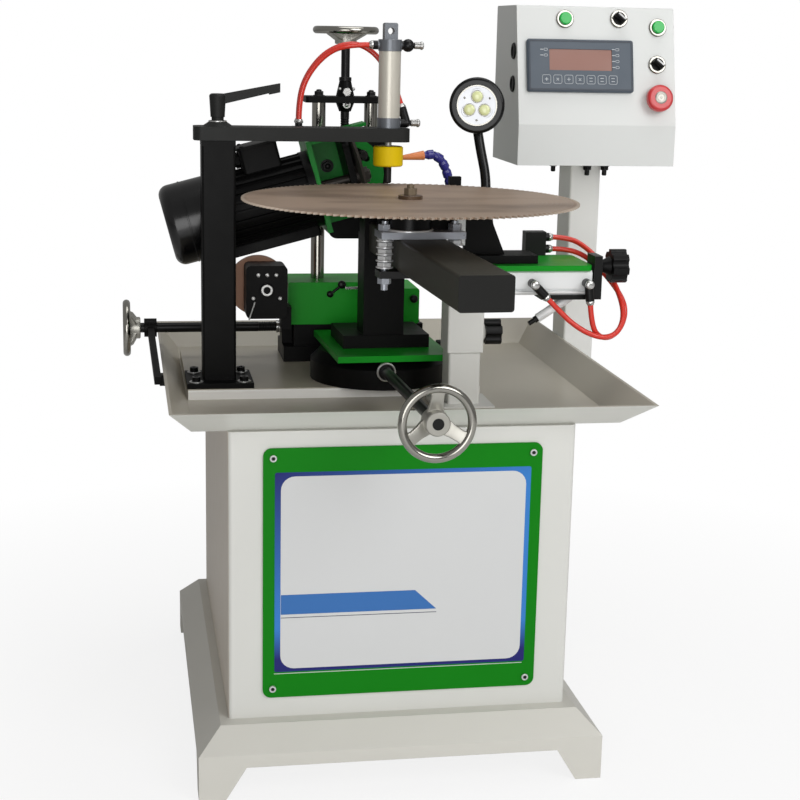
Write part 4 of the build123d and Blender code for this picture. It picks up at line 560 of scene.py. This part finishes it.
# Air hoses
def hose(name, body, node, route):
    """A smooth tube along a route in millimetres."""
    curve = bpy.data.curves.new(name, "CURVE")
    curve.dimensions = "3D"
    curve.bevel_depth = 0.004
    curve.bevel_resolution = 7
    curve.resolution_u = 14
    curve.use_fill_caps = True
    spline = curve.splines.new("NURBS")
    spline.points.add(len(route) - 1)
    for point, place in zip(spline.points, route):
        point.co = (*(MACHINE @ Vector(place)), 1)
    spline.order_u = 3
    spline.use_endpoint_u = True
    curve.materials.append(red_hose.material)
    piece = bpy.data.objects.new(name, curve)
    scene.collection.objects.link(piece)
    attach(piece, body)
    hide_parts(node)


PRESS_UPPER = [
    (-123, 277.5, 935.8), (-123, 277.5, 971.8), (-110, 274.5, 1009.8), (-80.5, 262, 1043.3),
    (-48.5, 247, 1053.3), (-16.5, 247, 1053.3)]
PRESS_LOWER = [
    (-123, 288.5, 935.8), (-123, 288.5, 971.8), (-110, 288.5, 1009.8), (-80, 287.5, 1044.3),
    (-38, 286.5, 1057.3), (-6, 283.5, 1040.3), (12, 277.5, 1011.3), (24.886, 267.005, 983.755),
    (30.665, 256.602, 960.639)]
PUSHER_FIRST = [
    (217.678, 79, 701.322), (237.477, 79, 681.523), (258.678, 77, 661.322), (284.678, 75, 645.322),
    (311.678, 77, 638.322), (334.678, 86, 646.322), (346.678, 103, 670.322), (343.678, 130, 702.322),
    (329.678, 160, 733.322), (308.5, 187, 759), (283.5, 207, 772), (253.5, 207, 772)]
PUSHER_SECOND = [
    (285.479, 79, 694.243), (289.2, 79, 658.5), (303.9, 87.7, 638.1), (327.4, 100.9, 634.5),
    (347, 112, 649.5), (353.2, 116, 675.6), (348, 140, 698), (331.479, 167, 723.243), (309.5, 192, 745),
    (283.5, 207, 754), (253.5, 207, 754)]
hose("press_hose_upper", "arm", "press_hoses", PRESS_UPPER)
hose("press_hose_lower", "arm", "press_hoses", PRESS_LOWER)
hose("pusher_hose_first", "pusher", "pusher_hoses", PUSHER_FIRST)
hose("pusher_hose_second", "pusher", "pusher_hoses", PUSHER_SECOND)


# Handwheels and their screws
def handwheel(name, body, node, place, diameter, bore):
    """Polished round rim, flat sloping spokes and a turned hub."""
    thick, lift = 6, 22
    middle = diameter / 2 - thick
    round_bar = [on_circle(thick, 18 * i) for i in range(20)]
    rim = Kit(name + "_rim", body, chrome, place)
    rim.turned((0, 0, 0), Z, [(middle + x, lift + y) for x, y in round_bar], segments=96, closed=True)
    rim.done(replaces=[node])
    hub = Kit(name + "_hub", body, satin, place)
    hub.turned((0, 0, 0), Z, [(bore, 0), (16, 0), (17.6, 1.5), (17.6, 9), (17.2, 12), (16.6, 22),
                              (16.6, 26.5), (15.2, 28), (bore, 28)], segments=64, closed=True)
    sections = ((12, 9, 11.5, 4.4), (18, 11.4, 10.4, 3.9), (26, 15, 9.0, 3.3),
                (middle - 10, lift - 1.2, 8.6, 3.0), (middle - 4, lift - 0.4, 10.4, 3.0),
                (middle, lift, 12.0, 3.2))
    for number in range(3):
        turn = Matrix.Rotation(math.radians(90 + 120 * number), 3, "Z")
        rings = [hub.ring(turn @ Vector((reach, y, height + z))
                          for y, z in rounded(2 * half, 2 * deep, 1.6, 3))
                 for reach, height, half, deep in sections]
        hub.loft(rings)
        hub.shape.faces.new(rings[0])
        hub.shape.faces.new(rings[-1])
    hub.done(replaces=[node])


handwheel("front_wheel", "cross_wheel", "front_handwheel", FRONT_WHEEL, 106, 8)
handwheel("left_wheel", "feed_wheel", "left_handwheel", LEFT_WHEEL, 92, 8)
handwheel("top_wheel", "lift_wheel", "top_handwheel", TOP_WHEEL, 106, 7)
lift_axis = (LIFT_X, LIFT_Y, 0)
lift_screw = Kit("lift_screw", "lift_wheel", black_oxide)
lift_screw.turned(lift_axis, Z, threaded(7, 780, 936, 4))
lift_screw.turned(lift_axis, Z, [(0, 936), (7, 936), (7, 1079), (6.2, 1080), (0, 1080)])
lift_screw.turned(lift_axis, Z, [(7, 994.3), (10, 994.3), (10, 999.6), (9.4, 1000.3), (7, 1000.3)],
                  closed=True)
lift_screw.done(replaces=["top_handwheel"])
feed_axis = (0, FEED_Y, FEED_Z)
feed_screw = Kit("feed_screw", "feed_wheel", black_oxide)
feed_screw.turned(feed_axis, X, [(0, -390), (7.2, -390), (8, -389.2), (8, -340), (8, -170), (0, -170)])
feed_screw.turned(feed_axis, X, threaded(8, -170, 94, 4))
feed_screw.done(replaces=["left_handwheel"])


# Printed front panel: blue field, white card, blue ribbon and fine rules, with its screws
def sheet(name, finish, outline, at, level, thick=0.25, body="frame", place=FRONT):
    """A thin layer that stands up from a level and is sunk a little into what lies under it."""
    sunk = 0.2
    piece = Kit(name, body, finish, place)
    piece.cut((at[0], at[1], level - sunk), Z, outline, sunk + thick)
    piece.done()


sheet("panel_field", panel_blue, rounded(369.5, 298, 3), (0.25, 319), 0)
sheet("panel_card", panel_white, rounded(354, 287, 20), (1, 318.5), 0.25)
sheet("panel_ribbon", ribbon_blue, [(-175.5, 257.5), (50.7, 257.5), (19, 287), (-175.5, 287)], (0, 0), 0.5)
sheet("panel_rule", line_dark, rounded(226.5, 0.9, 0.2, 2), (-62.2, 252.5), 0.5)
sheet("panel_edge_rule", panel_white, rounded(367, 0.9, 0.2, 2), (-1.5, 167.5), 0)
heads = Kit("panel_screws", "frame", zinc)
# Black hexagons in the key holes of the screws: painted shade in the recesses
screw_key_shade = Kit("panel_screw_key_shade", "frame", black_oxide)
for x in (-187, 187):
    for z in (145, 489):
        heads.socket((x, -5.4, z), -Y, 10, 1.8)
        screw_key_shade.hexagon((x, -5.6, z), -Y, 5, 1.1)
heads.done()
screw_key_shade.done()

# Display: border, glass, key outlines and marker lights
PRINT_LEVEL = 8.9
border = Kit("display_border", "frame", slate_edge, FACE)
border.band((102, 94, 8.8), Z, rounded(172, 80, 2.5), rounded(166.4, 74.4, 1.5), 0.4)
border.done()
sheet("display_glass", amber_glass, rounded(103.6, 33.6, 1.5), (102, 103), 7, 0.9, place=FACE)
keys = Kit("display_keys", "frame", key_line, FACE)
for number in range(7):
    u, v = 44.8 + 18.4 * number, 71.4
    keys.band((u, v, PRINT_LEVEL), Z, rounded(14.4, 14.4, 3), rounded(13.0, 13.0, 2.4), 0.3)
    if number > 3:
        marks = [(2.4, 0), (-2.4, 0)]
    else:
        marks = [(0, 45 * number), (0, 45 * number + 90)]
    for rise, turn in marks:
        stroke = spun(rounded(5.6, 1.1, 0.3, 2), turn)
        keys.cut((u, v + rise, PRINT_LEVEL), Z, stroke, 0.22 if turn else 0.28)
for u, v in ((41.6, 118.9), (41.6, 109.7), (160.4, 120.3), (160.4, 110.9), (160.4, 101.4), (160.4, 91.7)):
    keys.band((u + 2.5, v, PRINT_LEVEL), Z, rounded(6.2, 4.2, 1.6), rounded(4.8, 2.8, 1.0), 0.3)
    keys.cut((u - 4, v, PRINT_LEVEL), Z, rounded(5.4, 1.2, 0.3, 2), 0.3)
keys.done()

# Controls: pointer stripes, stop insert, rubber bushes in the side holes and bolts under the box
pointer = [(x + 1.3, y + 1.1) for x, y in spun(rounded(2.6, 15, 0.8, 3), 50)]
for body, u, v in (("mode_selector", 169, 172), ("power_selector", 232, 99)):
    sheet(body + "_pointer", panel_white, pointer, (u, v), 17, 0.35, body, FACE)
insert = Kit("stop_insert", "stop", satin, FACE)
insert.turned((231, 42, 22), Z, [(0, -0.4), (10, -0.4), (10, 0.6), (9.1, 1.3), (6.4, 1.3), (5.6, 0.5),
                                 (2, 0.5), (1.4, 1), (0, 1)])
insert.done()
bushes = Kit("box_bushes", "frame", black_plastic)
for z in (995, 1047):
    bushes.turned((239, 410, z), -X, [(0, -1.5), (10.8, -1.5), (10.8, 0), (13.2, 0), (13.2, 1.6), (12, 2.8),
                                      (9.2, 2.8), (8, 1.2), (0, 0.6)])
bushes.done()
flange = Kit("flange_bolts", "frame", black_oxide)
for x, y in ((344, 528), (382, 452), (412, 452), (422, 528)):
    flange.washer((x, y, 861.9), -Z, 4.1, 8.6, 1.6)
    flange.hexagon((x, y, 860.4), -Z, 13, 6.5, 15)
    flange.dome((x, y, 854), -Z, 4, 9.5, 8)
flange.done()

# Press: washers at the column foot and the lever, ribbed nipples
feet = Kit("foot_washers", "frame", steel)
for x in (-283, -211):
    for y in (211, 283):
        feet.washer((x, y, 552.9), Z, 6.6, 10.6, 1.5)
feet.done()
lever_ring = Kit("lever_washer", "lever", steel)
lever_ring.washer((-247, PRESS_Y, 938.2), Z, 11.9, 13.6, 1.8)
lever_ring.done()
nipples = Kit("press_nipples", "arm", steel)
for x, z in ((45.6, 1053.3), (42.6, 939.3)):
    nipples.turned((x, PRESS_Y, z), X, barbed(4.2, 5.1, 14, 2.3), closed=True)
    nipples.turned((x + 9.5, PRESS_Y, z), X, [(4.2, 0), (5.9, 0), (6.1, 0.6), (6.1, 2.4), (5.6, 3), (4.2, 3)],
                   closed=True)
nipples.done()

# Collars at the ends of the hoses, and round heads on the pusher's fittings
COLLAR = [(4.1, 0), (5.9, 0), (6.3, 0.6), (6.3, 3.2), (5.4, 4.2), (5.0, 6), (4.1, 6)]
press_collars = Kit("press_collars", "arm", steel)
for at, axis in ((PRESS_UPPER[0], Z), (PRESS_LOWER[0], Z), (PRESS_UPPER[-1], -X),
                 (PRESS_LOWER[-1], Vector((-0.2223, 0.4001, 0.8891)))):
    press_collars.turned(at, axis, COLLAR, closed=True)
press_collars.done()
pusher_collars = Kit("pusher_collars", "pusher", steel)
for at, axis in ((PUSHER_FIRST[0], Vector((1, 0, -1)).normalized()),
                 (PUSHER_SECOND[0], Vector((3.34, 0, -23.766)).normalized()),
                 (PUSHER_FIRST[-1], X), (PUSHER_SECOND[-1], X)):
    pusher_collars.turned(at, axis, COLLAR, closed=True)
for x in (200, 282):
    pusher_collars.dome((x, 73.2, 719), -Y, 6.6, 5.4, 2.6)
pusher_collars.done()

# Grinding unit: nuts on the top plate, bearing and gearbox screws, carriage lock, head bolts and feed collar
nuts = Kit("rod_nuts", "carriage", black_oxide)
for x in (-72.5, 12.5):
    nuts.washer((x, LIFT_Y, 969.9), Z, 5, 9.5, 1.6)
    nuts.hexagon((x, LIFT_Y, 971.3), Z, 13, 6.5, 10)
    nuts.dome((x, LIFT_Y, 977.6), Z, 4.4, 3, 1.6)
nuts.done()
screws = Kit("bearing_screws", "carriage", steel)
screws.hexagon((-29, 434, 977), -Y, 13, 5.5, 10)
screws.washer((-29, 433, 957), -Y, 2.4, 6.4, 2.6)
screws.dome((-29, 432, 957), -Y, 3.4, 4, 2)
for x in (-40, -18):
    screws.dome((x, 436, 982), -Y, 2.6, 3.4, 1.2)
for x, z in ((-180, 698), (-166, 698), (-152, 698), (-146, 661), (-188, 661)):
    screws.socket((x, 325.2, z), -Y, 6.4, 3.4)
screws.turned((-167, 318.5, 674.5), -Y, [(0, -6), (9.6, -6), (9.6, 1.4), (8.8, 2.4), (5.6, 2.4), (5, 0.8),
                                         (0, 0.8)])
screws.turned((-185.2, 324.4, 655.1), Vector((-9.5, 0, -28.5)).normalized(),
              [(0, 0), (1.3, 0), (1.3, 29.6), (0, 30)], segments=12)
screws.bar((-33, 391.6, 663.6), (-7, 394.6, 667.8))
screws.done(0.4)
lock = Kit("carriage_lock", "carriage", black_oxide)
lock.dome((-57.8, 394.5, 655.8), -Y, 5.4, 7, 4)
lock.dome((-38.8, 394.5, 671.3), -Y, 6.6, 8, 5)
lock.turned((-57.8, 390.5, 655.8), Vector((19, 0, 15.5)).normalized(),
            [(0, 0), (2.2, 0), (2.2, 24), (0, 24)], segments=16)
lock.dome((80.4, 394.4, 647.3), -Y, 6.5, 9, 6)
lock.done(0.4)
tilt_bolt = Kit("tilt_bolt", "head", black_oxide)
tilt_bolt.washer((-6, 404.3, 879), -Y, 4.6, 8.6, 1.4)
tilt_bolt.hexagon((-6, 403, 879), -Y, 12, 6.6, 12)
tilt_bolt.done(0.3)
bracket_bolts = Kit("bracket_bolts", "motor", black_oxide, HEAD)
bracket_bolts.washer((-29, 402.2, 22), -Y, 5, 10.5, 1.8)
bracket_bolts.hexagon((-29, 400.6, 22), -Y, 15, 8, 20)
bracket_bolts.dome((-29, 392.8, 22), -Y, 4.6, 5, 3)
bracket_bolts.done(0.3)
feed_collar = Kit("feed_collar", "frame", steel)
feed_collar.turned((-133, FEED_Y, FEED_Z), -X, [(8.3, -1), (10.4, -1), (10.4, 3), (9.8, 3.6), (9.8, 5),
                                                (10.4, 5.6), (10.4, 8), (8.3, 8)], closed=True)
feed_collar.done()

# Table: cross screw ring, lock screws, stacked nuts of the arbor clamp and the bearing's cheek
cross_ring = Kit("cross_ring", "table", steel, TABLE)
cross_ring.turned((CROSS_X, -119, CROSS_Z), -Y, [(12.1, 0), (14.6, 0), (14.6, 3.4), (13.8, 4.2), (12.1, 4.2)],
                  closed=True)
cross_ring.done()
slide_locks = Kit("slide_locks", "table", black_oxide, TABLE)
for y, radius, reach in ((-100, 5.6, 10), (-5, 7, 14)):
    slide_locks.turned((88.5, y, 595), X, [(0, 0), (3, 0), (3, 2.5), (radius, 3), (radius, reach - 1),
                                           (radius - 1, reach), (0, reach)], segments=14)
slide_locks.done(0.3)
STACK_TOP = 791
stack = Kit("clamp_nuts", "arbor_slide", zinc, TABLE)
for x, low in ((-43, 751), (57, 782)):
    z = low
    while z < STACK_TOP:
        stack.washer((x, CLAMP_Y, z), Z, 5.05, 12.4, 2)
        stack.hexagon((x, CLAMP_Y, z + 2), Z, 19, 6.2, 10 + 7 * (z - low))
        z += 9.4
stack.hexagon((-43, CLAMP_Y, 738), -Z, 15, 6, 8)
stack.turned((-8, CLAMP_Y, 803.2), Z, [(30.1, 0), (33.4, 0), (33.4, 2.2), (32.6, 3), (30.1, 3)], closed=True)
stack.done(0.3)
cheek = Kit("bearing_cheek", "arbor_slide", black_paint, TABLE)
cheek.cut((7, -208, 812.2), -Y, rounded(112, 18, 3), 14, 1)
cheek.done()

# Head and motor: foot of the slide, seam of the cowl, terminal box lid with its gland, motor foot
slide_foot = Kit("slide_foot", "head", black_paint)
slide_foot.cut((-21.5, 434, 768), -Y, rounded(70, 52, 13), 9, 1)
slide_foot.done()
seam = Kit("cowl_band", "motor", cowl_black, HEAD)
seam.turned((-267.4, MOTOR_Y, 0), X, [(62.6, 0), (63.3, 0), (63.9, 0.5), (63.9, 2.3), (63.3, 2.8),
                                      (62.6, 2.8)], segments=96, closed=True)
seam.done()
cover = Kit("terminal_cover", "motor", black_paint, HEAD)
cover.cut((-135, MOTOR_Y, 87.6), Z, rounded(66, 70, 7), 4.4, 0.8)
for x in (-159, -111):
    for y in (316, 370):
        cover.dome((x, y, 91.8), Z, 3.2, 2.2, 0.8)
cover.hexagon((-164.8, MOTOR_Y, 72), -X, 22, 8)
cover.turned((-172.6, MOTOR_Y, 72), -X, [(0, 0), (9.6, 0), (9.6, 9), (8.4, 12.5), (6, 13.5), (0, 13.5)])
cover.done(0.5)
motor_foot = Kit("motor_foot", "motor", black_paint, HEAD)
motor_foot.cut((-146, MOTOR_Y, -71), Z, rounded(150, 40, 4), 16, 1)
motor_foot.done(0.6)

# Pusher: probe sleeve with a clamp nut, scale plate; lamp: rim, small screws, rings and lights
sleeve = Kit("probe_sleeve", "pusher", anodised)
slant = Matrix.Rotation(math.radians(57), 3, "Y") @ -Z
sleeve.turned((268, 112, 697.5), slant, [(5.05, 4), (6.4, 4), (6.6, 4.6), (6.6, 62), (6.0, 63), (5.05, 63)],
              closed=True)
sleeve.hexagon((145.5, 160.6, 756.9), Z, 12, 6.5, 10)
sleeve.done(0.3)
scale_plate = Kit("pusher_scale", "pusher_slide", anodised)
scale_plate.bar((92.5, 126.8, 770), (106, 128.2, 832))
scale_plate.done(0.3)
LIGHT_REACH, SCREW_REACH = 13.2, 22
rim = Kit("lens_rim", "pusher", chrome, LAMP_HEAD)
lights = Kit("lens_lights", "pusher", led_yellow, LAMP_HEAD)
rim.washer((0, 0, -2.2), Z, 28.6, 30.8, 1.6)
for turn in (90, 210, 330):
    rim.dome((*on_circle(SCREW_REACH, turn - 60), -2.1), Z, 1.7, 1.2)
    rim.washer((*on_circle(LIGHT_REACH, turn), -1.8), Z, 8.5, 9.6, 1.4)
    lights.dome((*on_circle(LIGHT_REACH, turn), -1.2), Z, 8.3, 2.6)
rim.done()
lights.done()

# Floor: pale and shaded near the object, white to the camera further out
FLOOR_HALF = 14
FLOOR_DROP = 0.0005
floor_finish = bpy.data.materials.new("floor")
floor_finish.use_nodes = True
tree = floor_finish.node_tree
paint = tree.nodes["Principled BSDF"]
paint.inputs["Base Color"].default_value = (0.95, 0.95, 0.95, 1)
paint.inputs["Roughness"].default_value = 0.9
glow = add_node(tree, "Emission", Strength=1.0)
away = compute(tree, "VectorMath", "LENGTH", add_node(tree, "TexCoord").outputs["Object"])
fade = add_ramp(tree, away, 0.55, 1.5, 0.84, 1.0)
path = add_node(tree, "LightPath").outputs
share = compute(tree, "Math", "MULTIPLY", path["Is Camera Ray"], fade)
blend_shaders(tree, share, paint, glow, "Material Output")
ground = bmesh.new()
bmesh.ops.create_grid(ground, x_segments=8, y_segments=8, size=FLOOR_HALF)
mesh = bpy.data.meshes.new("floor")
ground.to_mesh(mesh)
ground.free()
mesh.materials.append(floor_finish)
floor = bpy.data.objects.new("floor", mesh)
floor.location.z = -FLOOR_DROP
scene.collection.objects.link(floor)

# World: white to the camera and through glass, part of it in reflections, a soft fill for the rest
WORLD_FILL = 0.22
GLOSSY_SHARE = 0.15
world = bpy.data.worlds.new("studio")
scene.world = world
world.use_nodes = True
tree = world.node_tree
light = tree.nodes["Background"]
light.inputs["Color"].default_value = (1.0, 0.99, 0.97, 1)
light.inputs["Strength"].default_value = WORLD_FILL
seen = add_node(tree, "Background", Color=(1, 1, 1, 1), Strength=1.0)
path = add_node(tree, "LightPath").outputs
direct = compute(tree, "Math", "MAXIMUM", path["Is Camera Ray"], path["Is Transmission Ray"])
share = compute(tree, "Math", "MULTIPLY_ADD", path["Is Glossy Ray"], GLOSSY_SHARE, direct)
blend_shaders(tree, share, light, seen, "World Output")


# Lamps: round soft boxes in front, above and low on the left
def lamp(name, place, target, size, power):
    made = bpy.data.objects.new(name, bpy.data.lights.new(name, "AREA"))
    made.data.shape = "DISK"
    made.data.size = size
    made.data.energy = power
    made.location = place
    made.rotation_euler = (Vector(target) - Vector(place)).to_track_quat("-Z", "Y").to_euler()
    scene.collection.objects.link(made)


lamp("key", (1.5, -2.6, 2.4), (0, 0, 0.6), 2.2, 47)
lamp("top", (0.3, 0.1, 3.0), (0, 0, 0.7), 1.8, 18)
lamp("fill", (-0.7, -3.3, 1.0), (0, 0, 0.7), 2.0, 32)
